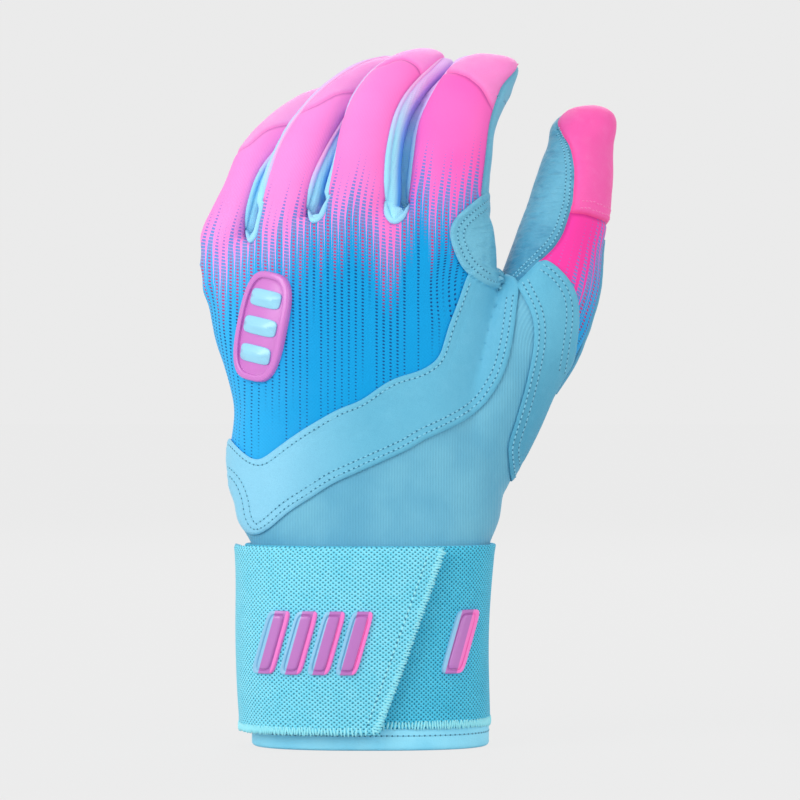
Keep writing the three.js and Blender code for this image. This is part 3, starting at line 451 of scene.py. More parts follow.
# how far the tips lean beyond their centre lines: right and up, millimetres, between two places along the digit
sway = {"ring": (9.0, 0.0, 40, 100), "pinky": (5.5, 0.0, 25, 75), "middle": (3.0, -1.4, 60, 98),
        "index": (0.8, -0.6, 55, 90)}
# small pushes of the form, in pixels of the photograph: place, push, reach
nudges = [
    (222, 185, 6, 0, 46), (190, 264, 9, 0, 34), (216, 342, -4, 0, 40), (226, 412, 6, 0, 44), (594, 305, 6, 0, 62),
    (580, 360, 5, 0, 50), (606, 116, 8, -3, 30), (556, 124, -5, 0, 30), (502, 262, -2, 11, 36), (508, 64, 9, -2, 26),
]
# how far one side of a digit is filled out, millimetres to the left or right, and between which places along it
fuller = {"index": (-1.7, 10, 26, 70, 92), "middle": (1.5, 8, 20, 36, 50)}


def leanTips(points, places):
    out = points.copy()
    for name, (right, up, low, high) in sway.items():
        own = places[name]
        weight = smoothStep(own["along"], low, high) * (1 - smoothStep(own["radial"], 1.35, 1.9))
        out[:, 0] += right * weight
        out[:, 2] += up * weight
    for name, (far, a, b, c, d) in fuller.items():
        own = places[name]
        weight = smoothStep(own["along"], a, b) * (1 - smoothStep(own["along"], c, d))
        side = np.clip(own["across"] * math.copysign(1, far), 0, 1)
        out[:, 0] += far * weight * side * (1 - smoothStep(own["radial"], 1.25, 1.6))
    pixels = photoPixels(out)
    for x, y, right, down, reach in nudges:
        gap = np.hypot(pixels[:, 0] - x, pixels[:, 1] - y) / reach
        weight = np.clip(1 - gap * gap, 0, 1) ** 2 * photo["mmPerPixel"]
        out[:, 0] += right * weight
        out[:, 2] -= down * weight
    return out


class Skin:
    # the filled hand as triangles, with a table of measures for every point

    columns = (["x", "y", "z", "px", "py", "v"] + [f"{n}.{k}" for n in digitNames for k in "sadr"]
               + [f"area.{n}" for n in areas])

    def __init__(self, mesh):
        self.bm = bmesh.new()
        self.bm.from_mesh(mesh)
        bmesh.ops.triangulate(self.bm, faces=self.bm.faces)
        points = np.array([v.co[:] for v in self.bm.verts])
        places = {name: limb.locate(points) for name, limb in limbs.items()}
        leaned = leanTips(points, places)
        table = [leaned[:, 0], leaned[:, 1], leaned[:, 2]]
        pixels = photoPixels(leaned)
        table += [pixels[:, 0], pixels[:, 1]]
        section = handAt(np.minimum(points[:, 2], hand["webHeight"]))
        back = np.maximum(0, -(points[:, 0] - section["centre"]) / section["halfWidth"]) ** 2
        section = handAt(np.clip(points[:, 2] + section["drop"] * back, 0, hand["webHeight"]))
        table.append((points[:, 1] - section["recede"] * np.minimum(back, 1.6)) / section["halfDepth"])
        for at in places.values():
            table += [at["along"], at["across"], at["depth"] / at["halfDepth"], at["radial"]]
        for name, outline in areas.items():
            table.append(insideDistance(pixels, outlineOf(name)))
        self.table = np.stack(table, axis=1)

    def cut(self, field, where=None):
        # new edges where a field changes sign, so that a seam can run there
        value = field(Measures(self.table))
        allowed = np.ones(len(value), bool) if where is None else where(Measures(self.table))
        self.bm.verts.index_update()
        ends = np.array([(e.verts[0].index, e.verts[1].index) for e in self.bm.edges])
        edges = list(self.bm.edges)
        va, vb = value[ends[:, 0]], value[ends[:, 1]]
        crossing = (va * vb < 0) & allowed[ends[:, 0]] & allowed[ends[:, 1]] & (np.abs(va - vb) < 25)
        share = np.zeros(len(va))
        share[crossing] = va[crossing] / (va[crossing] - vb[crossing])
        onLine = set()
        moved = np.zeros(len(value), bool)
        for k in np.where(crossing & ((share < 0.15) | (share > 0.85)))[0]:
            a, b = ends[k]
            t = share[k]
            if t > 0.5:
                a, b, t = b, a, 1 - t
            if not moved[a]:
                self.table[a] += t * (self.table[b] - self.table[a])
                moved[a] = True
                value[a] = 0
                onLine.add(a)
        va, vb = value[ends[:, 0]], value[ends[:, 1]]
        crossing &= va * vb < 0
        verts = list(self.bm.verts)
        lineVerts = [verts[k] for k in onLine]
        rows = []
        for k in np.where(crossing)[0]:
            a, b = ends[k]
            t = va[k] / (va[k] - vb[k])
            start = verts[a]
            edge, made = bmesh.utils.edge_split(edges[k], start, float(t))
            rows.append(self.table[a] * (1 - t) + self.table[b] * t)
            lineVerts.append(made)
        if rows:
            self.table = np.vstack([self.table, rows])
        if lineVerts:
            bmesh.ops.connect_verts(self.bm, verts=lineVerts)
            faces = {f for v in lineVerts for f in v.link_faces if len(f.verts) > 3}
            bmesh.ops.triangulate(self.bm, faces=list(faces))

    def triangles(self):
        self.bm.verts.index_update()
        return np.array([[v.index for v in f.verts] for f in self.bm.faces])


class Measures:
    # reads the columns of the table by name

    def __init__(self, table):
        self.table = table
        self.kept = {}

    def __getitem__(self, name):
        return self.table[:, Skin.columns.index(name)]

    def angle(self, name):
        return np.degrees(np.arctan2(self[f"{name}.a"], -self[f"{name}.d"]))

    def owner(self):
        # the nearest digit, or -1 on the hand
        if "owner" not in self.kept:
            radial = np.stack([self[f"{n}.r"] for n in digitNames], axis=1)
            best = radial.argmin(axis=1)
            along = np.stack([self[f"{n}.s"] for n in digitNames], axis=1)[np.arange(len(best)), best]
            start = np.array([8, 8, 8, 3, 45])[best]
            best = np.where((along < start) | (radial.min(axis=1) > 2.2), -1, best)
            self.kept["owner"] = best
        return self.kept["owner"]

    def isOn(self, name):
        return self.owner() == digitNames.index(name)

    def seam(self, name, side):
        table = np.array(seams[name][side], float)
        angle = self.angle(name)
        if side == "cap":
            return self[f"{name}.s"] - smoothCurve(table[:, 0], table[:, 1], angle)
        where = smoothCurve(table[:, 0], table[:, 1], self[f"{name}.s"])
        return where - angle if side == "left" else angle - where

    def palmness(self):
        # above 0 on the palm side
        if "palm" in self.kept:
            return self.kept["palm"]
        hollow = np.clip(self["v"] - 0.1, -1, 1)
        total, weights = np.zeros(len(hollow)), np.zeros(len(hollow))
        for name in digitNames:
            s, r = self[f"{name}.s"], self[f"{name}.r"]
            if name == "thumb":
                own = np.clip(np.maximum(self.seam(name, "left"), self.seam(name, "right")) / 60, -1, 1)
                weight = smoothStep(s, 44, 62) * (1 - smoothStep(r, 1.4, 2.0))
            else:
                own = -np.cos(np.radians(self.angle(name))) + math.cos(math.radians(palmAngle))
                weight = smoothStep(s, 0, 18) * (1 - smoothStep(r, 1.4, 2.0))
            total, weights = total + weight * own, weights + weight
        over = np.maximum(weights, 1)
        self.kept["palm"] = total / over + (1 - weights / over) * hollow
        return self.kept["palm"]


skin = Skin(formMesh)
print("skin measured")


# digits leave the hand here, and every seam gets its own line of edges
skin.cut(lambda d: d.palmness())
for name in digitNames:
    skin.cut(lambda d: d[f"{name}.s"] - digits[name]["base"],
             lambda d: d[f"{name}.r"] < 1.7)
for a, b in zip(fingerNames[:-1], fingerNames[1:]):
    skin.cut(lambda d: d[f"{a}.r"] - d[f"{b}.r"], lambda d: (d[f"{a}.s"] > 10) & (d[f"{b}.s"] > 8))
for name in fingerNames:
    for side in ("left", "right"):
        skin.cut(lambda d: np.where(d[f"{name}.d"] > 0.9, 9, d.seam(name, side)),
                 lambda d: d.isOn(name) & (np.abs(d.angle(name)) < palmAngle + 12))
    skin.cut(lambda d: d.seam(name, "cap"), lambda d: d.isOn(name) & (d[f"{name}.s"] > 30) &
             (np.abs(d.angle(name)) < palmAngle + 12))
for side in ("left", "right"):
    skin.cut(lambda d: d.seam("thumb", side), lambda d: d.isOn("thumb") & (d["thumb.s"] > 45))
skin.cut(lambda d: d.seam("thumb", "cap"), lambda d: d.isOn("thumb") & (d["thumb.s"] > 80)
         & (np.abs(d.angle("thumb")) < 130))
for name in areas:
    skin.cut(lambda d: d[f"area.{name}"], lambda d: (d.palmness() < 0.6) & (np.abs(d[f"area.{name}"]) < 20))
for name, depth in (("strip", 1.2), ("strip", 3.2), ("wrap", 1.2), ("wrap", 3.2), ("saddle", 1.2), ("saddle", 3.2)):
    skin.cut(lambda d: d[f"area.{name}"] + depth, lambda d: (d.palmness() < 0.6) & (np.abs(d[f"area.{name}"]) < 20))
print("seams cut", len(skin.bm.verts))

panels = ["palm", "back", "wristStretch", "thumbBack", "thumbPalm", "thumbCap", "thumbPrint"]
for name in fingerNames:
    panels += [f"{name}Back", f"{name}Palm", f"{name}Cap", f"{name}Left", f"{name}Right"]
panels += webs


def panelOf(d):
    # which panel each face belongs to
    palm = d.palmness() > 0
    owner = d.owner()
    region = np.where(palm, panels.index("palm"), -1)
    assign = lambda where, name: region.__setitem__((region < 0) & where, panels.index(name))
    for name in fingerNames:
        own = owner == digitNames.index(name)
        up = own & (d[f"{name}.s"] > digits[name]["base"])
        left, right = d.seam(name, "left") > 0, d.seam(name, "right") > 0
        region[up & palm] = panels.index(f"{name}Palm")
        if name == "index":
            region[up & right] = panels.index("indexPalm")
            region[own & ~up & right & (d["index.s"] > 12)] = panels.index("palm")
        assign(up & left, f"{name}Left")
        assign(up & right, f"{name}Right")
        assign(up & (d.seam(name, "cap") > 0), f"{name}Cap")
        assign(up, f"{name}Back")
    thumb = owner == digitNames.index("thumb")
    up = d["thumb.s"] > digits["thumb"]["base"]
    leather = (d.seam("thumb", "left") > 0) | (d.seam("thumb", "right") > 0)
    region[thumb & up & leather] = panels.index("thumbPalm")
    region[thumb & ~up & leather & palm] = panels.index("palm")
    cap = thumb & ~leather & (d.seam("thumb", "cap") > 0)
    region[cap] = panels.index("thumbCap")
    region[thumb & up & ~leather & ~cap] = panels.index("thumbPrint")
    for web in webs:
        assign(d[f"area.{web}"] < 0, web)
    assign(d["area.crotch"] < 0, "palm")
    assign(d["area.thumbPrint"] < 0, "thumbBack")
    assign(d["area.print"] < 0, "back")
    region[region < 0] = panels.index("wristStretch")
    return region


def splitSkin(name, regionOfFace, names, attributes):
    # a copy of the skin, separated into one object for each region
    bm = skin.bm.copy()
    for face, region in zip(bm.faces, regionOfFace):
        face.material_index = int(max(region, 0))
    drop = [f for f, region in zip(bm.faces, regionOfFace) if region < 0]
    if drop:
        source = bm.verts.layers.int.new("source")
        bm.verts.index_update()
        for v in bm.verts:
            v[source] = v.index
        bmesh.ops.delete(bm, geom=drop, context="FACES")
        keep = [v[source] for v in bm.verts]
        bm.verts.layers.int.remove(source)
    else:
        keep = slice(None)
    mesh = bpy.data.meshes.new(name)
    bm.to_mesh(mesh)
    bm.free()
    for key, values in attributes.items():
        data = np.ascontiguousarray(np.asarray(values, float)[keep], dtype=np.float32)
        if data.ndim == 1:
            mesh.attributes.new(key, "FLOAT", "POINT").data.foreach_set("value", data)
        else:
            mesh.attributes.new(key, "FLOAT_VECTOR", "POINT").data.foreach_set("vector", data.ravel())
    for k in names:
        mesh.materials.append(bpy.data.materials.get(f"slot{k}") or bpy.data.materials.new(f"slot{k}"))
    whole = bpy.data.objects.new(name, mesh)
    scene.collection.objects.link(whole)
    for other in bpy.context.selected_objects:
        other.select_set(False)
    whole.select_set(True)
    bpy.context.view_layer.objects.active = whole
    before = set(bpy.data.objects)
    bpy.ops.object.mode_set(mode="EDIT")
    bpy.ops.mesh.select_all(action="SELECT")
    bpy.ops.mesh.separate(type="MATERIAL")
    bpy.ops.object.mode_set(mode="OBJECT")
    parts = {}
    for piece in [whole] + [o for o in bpy.data.objects if o not in before]:
        piece.select_set(False)
        index = piece.data.polygons[0].material_index if len(piece.data.polygons) else 0
        label = piece.data.materials[min(index, len(piece.data.materials) - 1)].name[4:]
        piece.data.materials.clear()
        piece.data.polygons.foreach_set("material_index", [0] * len(piece.data.polygons))
        piece.name = piece.data.name = label
        parts[label] = piece
    return parts


triangles = skin.triangles()
measures = Measures(skin.table)
faceMeasures = Measures(skin.table[triangles].mean(axis=1))
region = panelOf(faceMeasures)


# ---- relief: dips at the seams, fuller gussets, soft dents and folds
relief = {
    "seamDip": 0.6, "seamWidth": 1.0, "dents": 0.16, "hem": 0.55,
    # how far each gusset swells, millimetres: low down, and at the tip
    "puffs": {"indexLeft": (6.4, 1.4), "middleRight": (1.5, 1.2), "middleLeft": (1.6, 0.4), "ringRight": (1.6, 0.4),
              "ringLeft": (1.6, 0.0), "pinkyRight": (1.6, 0.3), "webMiddleIndex": (1.5, 1.5),
              "webRingMiddle": (-0.4, -0.4), "webPinkyRing": (-0.4, -0.4)},
}


def familyOf(label):
    # panels that are one piece of material in the real glove
    if label.startswith("web") or label.endswith(("Left", "Right")):
        return "gusset"
    if label == "back" or label.endswith("Back") and label != "thumbBack":
        return "print"
    if label == "palm" or label.endswith("Palm"):
        return "palm"
    return {"thumbPrint": "thumbBack"}.get(label, label)


families = sorted({familyOf(n) for n in panels})
familyOfFace = np.array([families.index(familyOf(n)) for n in panels])[region]


def inCrotch(d):
    return (d["px"] > crotchCorner["px"]) & (d["py"] < crotchCorner["py"])


def borderPoints():
    low, high = np.full(len(skin.table), 99), np.full(len(skin.table), -1)
    for k in range(3):
        np.minimum.at(low, triangles[:, k], familyOfFace)
        np.maximum.at(high, triangles[:, k], familyOfFace)
    border = low != high
    # seams that an overlay covers stay flat
    covered = np.zeros(len(border), bool)
    crotch = inCrotch(measures) & (measures["y"] < 0)
    for name in ("strip", "wrap", "saddle"):
        covered |= (measures[f"area.{name}"] < 1) & ((measures.palmness() < -0.03) | crotch)
    return border & ~covered


def pointNormals(points):
    a, b, c = (points[triangles[:, k]] for k in range(3))
    normals = np.zeros_like(points)
    face = np.cross(b - a, c - a)
    for k in range(3):
        np.add.at(normals, triangles[:, k], face)
    return normals / np.maximum(np.linalg.norm(normals, axis=1), 1e-12)[:, None]


def nearestDistance(sources, points, reach):
    tree = KDTree(len(sources))
    for k, p in enumerate(sources):
        tree.insert(p, k)
    tree.balance()
    out = np.full(len(points), reach)
    for k, p in enumerate(points):
        gap = tree.find(p)[2]
        if gap is not None and gap < reach:
            out[k] = gap
    return out


def softNoise(points, scale, seed):
    # a smooth field from a few dozen waves in seeded directions
    rng = np.random.default_rng(seed)
    total = np.zeros(len(points))
    for k in range(24):
        way = rng.normal(size=3)
        way *= 2 * math.pi / (scale * rng.uniform(0.7, 1.6)) / np.linalg.norm(way)
        total += np.sin(points @ way + rng.uniform(0, 6.28))
    return total / 5


restPoints = skin.table[:, :3].copy()
seamGap = nearestDistance(restPoints[borderPoints()], restPoints, 7.0)


def applyRelief():
    points = restPoints.copy()
    normals = pointNormals(points)
    push = -relief["seamDip"] * np.exp(-(seamGap / relief["seamWidth"]) ** 2)
    labels = np.array(panels)[region]
    puff = np.zeros(len(points))
    for label, (low, high) in relief["puffs"].items():
        at = np.unique(triangles[labels == label])
        name = next((n for n in fingerNames if label.startswith(n)), None)
        far = smoothStep(measures[f"{name}.s"][at], 45, 78) if name else 0
        puff[at] = np.maximum(puff[at], low + (high - low) * far)
    # even out the step where one gusset meets the next
    for k in range(6):
        total, count = np.zeros(len(puff)), np.zeros(len(puff))
        for a, b in ((0, 1), (1, 2), (2, 0)):
            isGusset = familyOfFace == families.index("gusset")
            i, j = triangles[isGusset, a], triangles[isGusset, b]
            np.add.at(total, i, puff[j])
            np.add.at(count, i, 1)
            np.add.at(total, j, puff[i])
            np.add.at(count, j, 1)
        puff = np.where(count > 0, 0.5 * puff + 0.5 * total / np.maximum(count, 1), puff)
    push += puff * (1 - np.exp(-(seamGap / 1.7) ** 2))
    capped = np.unique(triangles[labels == "thumbCap"])
    push[capped] += relief["hem"] * smoothStep(measures.seam("thumb", "cap")[capped], -0.05, 0.5)
    push += relief["dents"] * softNoise(points, 16, 5) * smoothStep(seamGap, 0, 4)
    return points + normals * push[:, None]


reliefPoints = applyRelief()
reliefNormals = pointNormals(reliefPoints)
for v, p in zip(skin.bm.verts, (reliefPoints + gloveShift) * mm):
    v.co = p
print("relief made")


def finishShell(piece, thickness=1.1, sharp=50):
    # a wall inwards, smooth faces and a sharp rim
    solid = piece.modifiers.new("Solidify", "SOLIDIFY")
    solid.thickness, solid.offset = thickness * mm, -1
    graph = bpy.context.evaluated_depsgraph_get()
    mesh = bpy.data.meshes.new_from_object(piece.evaluated_get(graph))
    piece.modifiers.clear()
    old, piece.data = piece.data, mesh
    bpy.data.meshes.remove(old)
    mesh.name = piece.name
    mesh.shade_smooth()
    mesh.set_sharp_from_angle(angle=math.radians(sharp))
    return piece


def surfaceArea(piece):
    bm = bmesh.new()
    bm.from_mesh(piece.data)
    area = sum(f.calc_area() for f in bm.faces)
    bm.free()
    return area


# the least width and length that a flat size is given, in metres
leastFlat = 0.0105


def declareSheet(length, area):
    # the flat size of a panel that was cut flat and is stretched over the hand; it is worked out and not kept
    flat = (max(area / length, leastFlat), max(length, leastFlat))
    min(area, flat[0] * flat[1])


# ---- how far the print runs: across and along, in millimetres, following each digit
# how far along the thumb its own print is hung, in millimetres
thumbHang = 60
# lines that the columns follow, from the knuckles up the fingers, in pixels of the photograph
columnLines = [
    [(200, 300), (200, 250), (214, 200), (234, 150), (262, 112), (305, 80)],
    [(249, 300), (249, 244), (262, 186), (284, 132), (322, 88), (372, 52)],
    [(313, 300), (313, 224), (326, 160), (344, 112), (366, 74), (394, 44)],
    [(394, 300), (394, 224), (403, 150), (419, 96), (442, 60)],
    [(489, 300), (489, 220), (493, 160), (501, 100), (512, 60)],
]


def printPlace(d):
    pixels = np.stack([smoothCurve(*zip(*[(-y, x) for x, y in line]), -np.clip(d["py"], 40, 300))
                       for line in columnLines])
    values = np.array([line[0][0] for line in columnLines], float)
    across = d["px"] - pixels[0] + values[0]
    for k in range(len(values) - 1):
        share = (d["px"] - pixels[k]) / (pixels[k + 1] - pixels[k])
        across = np.where(share > 0, values[k] + share * (values[k + 1] - values[k]), across)
    across = np.where(share > 1, values[-1] + d["px"] - pixels[-1], across)
    across = (across - photo["middle"]) * photo["mmPerPixel"] + photo["across"]
    # round the little finger's side the columns go on towards the palm
    onPinky = smoothStep(d["pinky.s"], -6, 24) * (1 - smoothStep(d["pinky.r"], 1.3, 3.0))
    side = (1 - onPinky) * smoothStep(-d["x"], 46, 60) + onPinky * smoothStep(-d["pinky.a"], 0.1, 0.8)
    depth = d["v"] + onPinky * (d["pinky.d"] - d["v"])
    across = across - np.maximum(0, depth + 0.55) * 12 * side
    # the thumb has its own
    limb, k = limbs["thumb"], thumbHang * 2
    share = (1 - smoothStep(d["thumb.r"], 1.2, 2.6)) * smoothStep(d["thumb.s"], 40, 62)
    own = limb.centre[k][0] + d["thumb.a"] * limb.halfWidth[k] * limb.side[k][0] - limb.palm[k][0] * 4
    along = d["z"] + share * (limb.centre[k][2] + d["thumb.s"] - thumbHang - d["z"])
    return across + share * (own - across), along


across, along = printPlace(measures)
tipShare = np.zeros(len(across))
for name, start in (("pinky", 14), ("ring", 18), ("middle", 38), ("index", 34)):
    reach = (measures[f"{name}.s"] - start) / (limbs[name].length - 9 - start)
    tipShare = np.where(measures.isOn(name), np.maximum(tipShare, reach), tipShare)
shared = {"printAcross": across, "printAlong": along, "seamGap": seamGap, "tipShare": tipShare}

nodesOf = {
    "palm": ["palm_panel"], "back": ["back_panel"], "wristStretch": ["wrist_stretch_panel"],
    "thumbBack": ["thumb_back_panel"], "thumbPrint": ["thumb_back_panel"],
    "thumbPalm": ["thumb_palm_panel", "thumb_tip_palm"], "thumbCap": ["thumb_tip_cap"],
    "webPinkyRing": ["gusset_pinky_ring"], "webRingMiddle": ["gusset_ring_middle"],
    "webMiddleIndex": ["gusset_middle_index"], "pinkyRight": ["pinky_tip_gusset_outer"],
    "ringLeft": ["ring_tip_gusset_inner"], "ringRight": ["ring_tip_gusset_outer"],
    "middleLeft": ["middle_tip_gusset_inner"], "middleRight": ["middle_tip_gusset_outer"],
    "indexLeft": ["index_tip_gusset_inner"],
}
for name in fingerNames:
    nodesOf[f"{name}Back"] = [f"{name}_tip_back"]
    nodesOf[f"{name}Palm"] = [f"{name}_tip_palm"]
    nodesOf[f"{name}Cap"] = [f"{name}_tip_cap"]


# places before and beyond a digit's joint, in millimetres, that bendWith works out and does not use
bendReach = {"before": 14, "beyond": 10}


def bendWith(piece, name):
    # a digit's piece: the places round its joint are worked out and not used, and its transform is baked; it does not
    # bend
    limb = limbs[name]
    joint = limb.length * limb.values["joint"]
    point = lambda s: tuple((limb.centre[int(round(s * 2))] + gloveShift) * mm)
    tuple(point(joint - bendReach["before"]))
    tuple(point(joint + bendReach["beyond"]))
    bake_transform(piece)


panelPieces = splitSkin("glove", region, panels, shared)
for label, piece in panelPieces.items():
    area = surfaceArea(piece)
    finishShell(piece)
    digit = next((n for n in digitNames if label.startswith(n) and label != "thumbBack"), None)
    if digit:
        bendWith(piece, digit)
    else:
        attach(piece, "hand")
    if label in nodesOf:
        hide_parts(*nodesOf[label])
    family = familyOf(label)
    declareSheet(float(max(np.ptp(np.array(piece.bound_box), axis=0))), area)
print("panels", len(panelPieces))


# ---- pale welts round the gussets, laid along the lines of edges that the seams were cut on
welt = {"web": 1.2, "low": 1.15, "high": 0.5, "sides": 8,
        "wide": {"indexleft": 1.5, "middleright": 1.2},
        # the pixel row where each web's welt begins
        "webTops": {"webPinkyRing": 192, "webRingMiddle": 186, "webMiddleIndex": 190},
        # where along each finger the welt turns from blue to pink
        "pink": {"pinky": (30, 50), "ring": (36, 58), "middle": (44, 84), "index": (36, 84)}}


def sweepTube(bm, places, normals, radii):
    rings = []
    turns = [2 * math.pi * j / welt["sides"] for j in range(welt["sides"])]
    for k, place in enumerate(places):
        way = Vector(places[min(k + 1, len(places) - 1)] - places[max(k - 1, 0)]).normalized()
        side = way.cross(Vector(normals[k])).normalized()
        up = side.cross(way)
        rings.append([Vector(place) + (side * math.cos(a) + up * math.sin(a)) * radii[k] * mm for a in turns])
    loftRings(bm, rings)


def evenPath(chosen, order, step):
    # the chosen points of the skin in order, averaged at even steps
    order = order[chosen]
    places, normals = reliefPoints[chosen], reliefNormals[chosen]
    marks = np.arange(order.min(), order.max() + step, step)
    out = []
    for mark in marks:
        weight = np.exp(-((order - mark) / step) ** 2)
        if weight.sum() > 0.3:
            weight = weight / weight.sum()
            out.append(np.concatenate([weight @ places, weight @ normals, [mark]]))
    out = np.array(out)
    for k in range(4):
        out[1:-1, :6] = (out[:-2, :6] + 2 * out[1:-1, :6] + out[2:, :6]) / 4
    places = (out[:, :3] + gloveShift + out[:, 3:6] * 0.15) * mm
    return places, out[:, 3:6], out[:, 6]


def finishWelt(name, places, normals, radii, high):
    # thin at both ends, with a measure of how far up the finger it is
    bm = bmesh.new()
    ends = np.minimum(np.arange(len(places)), np.arange(len(places))[::-1])
    sweepTube(bm, places, normals, radii * np.minimum(1, 0.35 + ends * 0.16))
    bmesh.ops.recalc_face_normals(bm, faces=bm.faces)
    piece = smoothObject(name, bm)
    rows = np.repeat(high, welt["sides"])
    piece.data.attributes.new("high", "FLOAT", "POINT").data.foreach_set("value", rows.astype(np.float32))
    return piece


def makeWelts():
    d, labels, out = measures, np.array(panels)[region], []
    for name, side in (("pinky", "right"), ("ring", "left"), ("ring", "right"), ("middle", "left"),
                       ("middle", "right"), ("index", "left")):
        s = d[f"{name}.s"]
        chosen = np.where((np.abs(d.seam(name, side)) < 0.6) & d.isOn(name) & (s > digits[name]["base"] - 0.5)
                          & (d.palmness() < -0.02) & (s < limbs[name].length - 9))[0]
        places, normals, at = evenPath(chosen, s, 1.6)
        share = smoothStep(at, *welt["pink"][name])
        low = welt["low"] * welt["wide"].get(name + side, 1)
        piece = finishWelt(f"{name}{side.capitalize()}Welt", places, normals,
                           low + (welt["high"] * low / welt["low"] - low) * smoothStep(at, 44, 84), share)
        bendWith(piece, name)
        out.append(piece)
    for web in webs:
        rim = outlineOf(web)
        own = np.unique(triangles[labels == web])
        chosen = own[(np.abs(d[f"area.{web}"][own]) < 0.4) & (d["py"][own] > welt["webTops"][web])]
        gap = np.hypot(rim[None, :, 0] - d["px"][chosen][:, None], rim[None, :, 1] - d["py"][chosen][:, None])
        nearest, front = gap.argmin(axis=1), np.full(len(rim), 1e9)
        np.minimum.at(front, nearest, d["y"][chosen])
        front = np.minimum(front, np.minimum(np.roll(front, 1), np.roll(front, -1)))
        keep = d["y"][chosen] < front[nearest] + 2.2
        chosen, order = chosen[keep], np.zeros(len(d["px"]))
        order[chosen] = nearest[keep]
        places, normals, at = evenPath(chosen, order, 1.0)
        piece = finishWelt(f"{web}Welt", places, normals, np.full(len(places), welt["web"]), np.zeros(len(places)))
        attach(piece, "hand")
        out.append(piece)
    return out


welts = makeWelts()
print("welts", len(welts))


# ---- leather overlays: raised copies of the skin inside an outline
# height in millimetres, run along the glove in metres
overlays = {
    "wrap": {"height": 1.25, "run": 0.045, "node": "index_knuckle_wrap", "slot": "palm_leather"},
    "strip": {"height": 1.35, "run": 0.135, "node": "back_strip", "slot": "palm_leather"},
    "saddle": {"height": 1.3, "run": 0.085, "node": "thumb_saddle", "slot": "saddle_leather"},
}
stitchRows = {
    # line, how far inside it in pixels
    "strip": [("stripTop", 5.5), ("stripBottom", 5.5), ("stripBottom", 11.5)],
    "wrap": [("wrapLeft", 8), ("wrapLeft", 14)],
    "saddle": [("saddleLeft", 5.5), ("saddleLeft", 11.5), ("saddleRight", 5.5), ("saddleRight", 11.5)],
}
names = list(overlays)


def overlayRegion():
    d = faceMeasures
    out = np.full(len(region), -1)
    front = d.palmness() < 0
    for k, name in enumerate(names):
        inside = (d[f"area.{name}"] < 0) & (out < 0)
        if name == "wrap":
            inside &= (d.palmness() < 0.5) | (d["y"] < -3)
        elif name == "strip":
            inside &= front | (inCrotch(d) & (d["y"] < -1))
        else:
            inside &= front
        out[inside] = k
    return out


def overlayHeights():
    # how far each point of an overlay stands off the skin
    d = measures
    lift, top = np.zeros(len(skin.table)), 0
    for name, values in overlays.items():
        edge = np.clip(-d[f"area.{name}"] * photo["mmPerPixel"], 0, 9)
        profile = 0.55 + 0.45 * np.sqrt(np.clip(edge / 1.1, 0, 1))
        groove = 0
        for line, offset in stitchRows[name]:
            groove = np.maximum(groove, np.exp(-((edge - offset * photo["mmPerPixel"]) / 0.55) ** 2))
        inside = d[f"area.{name}"] <= 0.01
        high = values["height"] * profile - 0.16 * groove * (edge < 6)
        if name == "wrap":
            high = (high + 0.45 * np.exp(-((edge - 0.9) / 0.7) ** 2)) * (0.1 + 0.9 * smoothStep(d["py"], 188, 212))
            # the wrap lies on the strip
            top = np.where(inside, high, 0)
        else:
            crotch = smoothStep(d["px"], 458, 474) * (1 - smoothStep(d["py"], 298, 320)) * (name == "strip")
            high = high * (1 - smoothStep(d.palmness(), -0.16, 0.0) * 0.9 * (1 - crotch))
            lift = np.where(inside, np.maximum(lift, high), lift)
    return lift + top


lifted = reliefPoints + reliefNormals * overlayHeights()[:, None]
for v, p in zip(skin.bm.verts, (lifted + gloveShift) * mm):
    v.co = p
overlayPieces = splitSkin("overlays", overlayRegion(), names, shared)
overlayTrees = {}
for name, piece in overlayPieces.items():
    bm = bmesh.new()
    bm.from_mesh(piece.data)
    overlayTrees[name] = BVHTree.FromBMesh(bm)
    bm.free()
    area = surfaceArea(piece)
    finishShell(piece, 1.2)
    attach(piece, "hand")
    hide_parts(overlays[name]["node"])
    declareSheet(overlays[name]["run"], area)
for v, p in zip(skin.bm.verts, (reliefPoints + gloveShift) * mm):
    v.co = p
skinTree = BVHTree.FromBMesh(skin.bm)
print("overlays", len(overlayPieces))


# ---- stitches: short threads laid along rows
cameraPoint = np.array([photo["across"] + gloveShift[0], gloveShift[1] - photo["distance"], photo["height"]]) * mm
stitch = {"pitch": 1.85, "length": 1.45, "width": 0.3, "height": 0.2}
fineStitch = {"pitch": 1.5, "length": 1.12, "width": 0.28, "height": 0.2}


def rayThrough(px, py):
    target = np.array([(px - photo["middle"]) * photo["mmPerPixel"] + photo["across"] + gloveShift[0],
                       gloveShift[1], photo["height"] + (photo["middle"] - py) * photo["mmPerPixel"]]) * mm
    way = target - cameraPoint
    return Vector(cameraPoint), Vector(way / np.linalg.norm(way))


def castLine(points, tree):
    # a line of pixels laid on a surface: places and normals
    out = []
    for px, py in points:
        start, way = rayThrough(px, py)
        hit, normal, *_ = tree.ray_cast(start, way)
        if hit is not None:
            out.append((hit, normal if normal.dot(way) < 0 else -normal))
    return out


def offsetLine(points, gap):
    # a parallel line, to the side that the sign of gap gives
    p = np.asarray(points, float)
    way = np.gradient(p, axis=0)
    way /= np.maximum(np.linalg.norm(way, axis=1), 1e-9)[:, None]
    return p + gap * np.stack([-way[:, 1], way[:, 0]], axis=1)


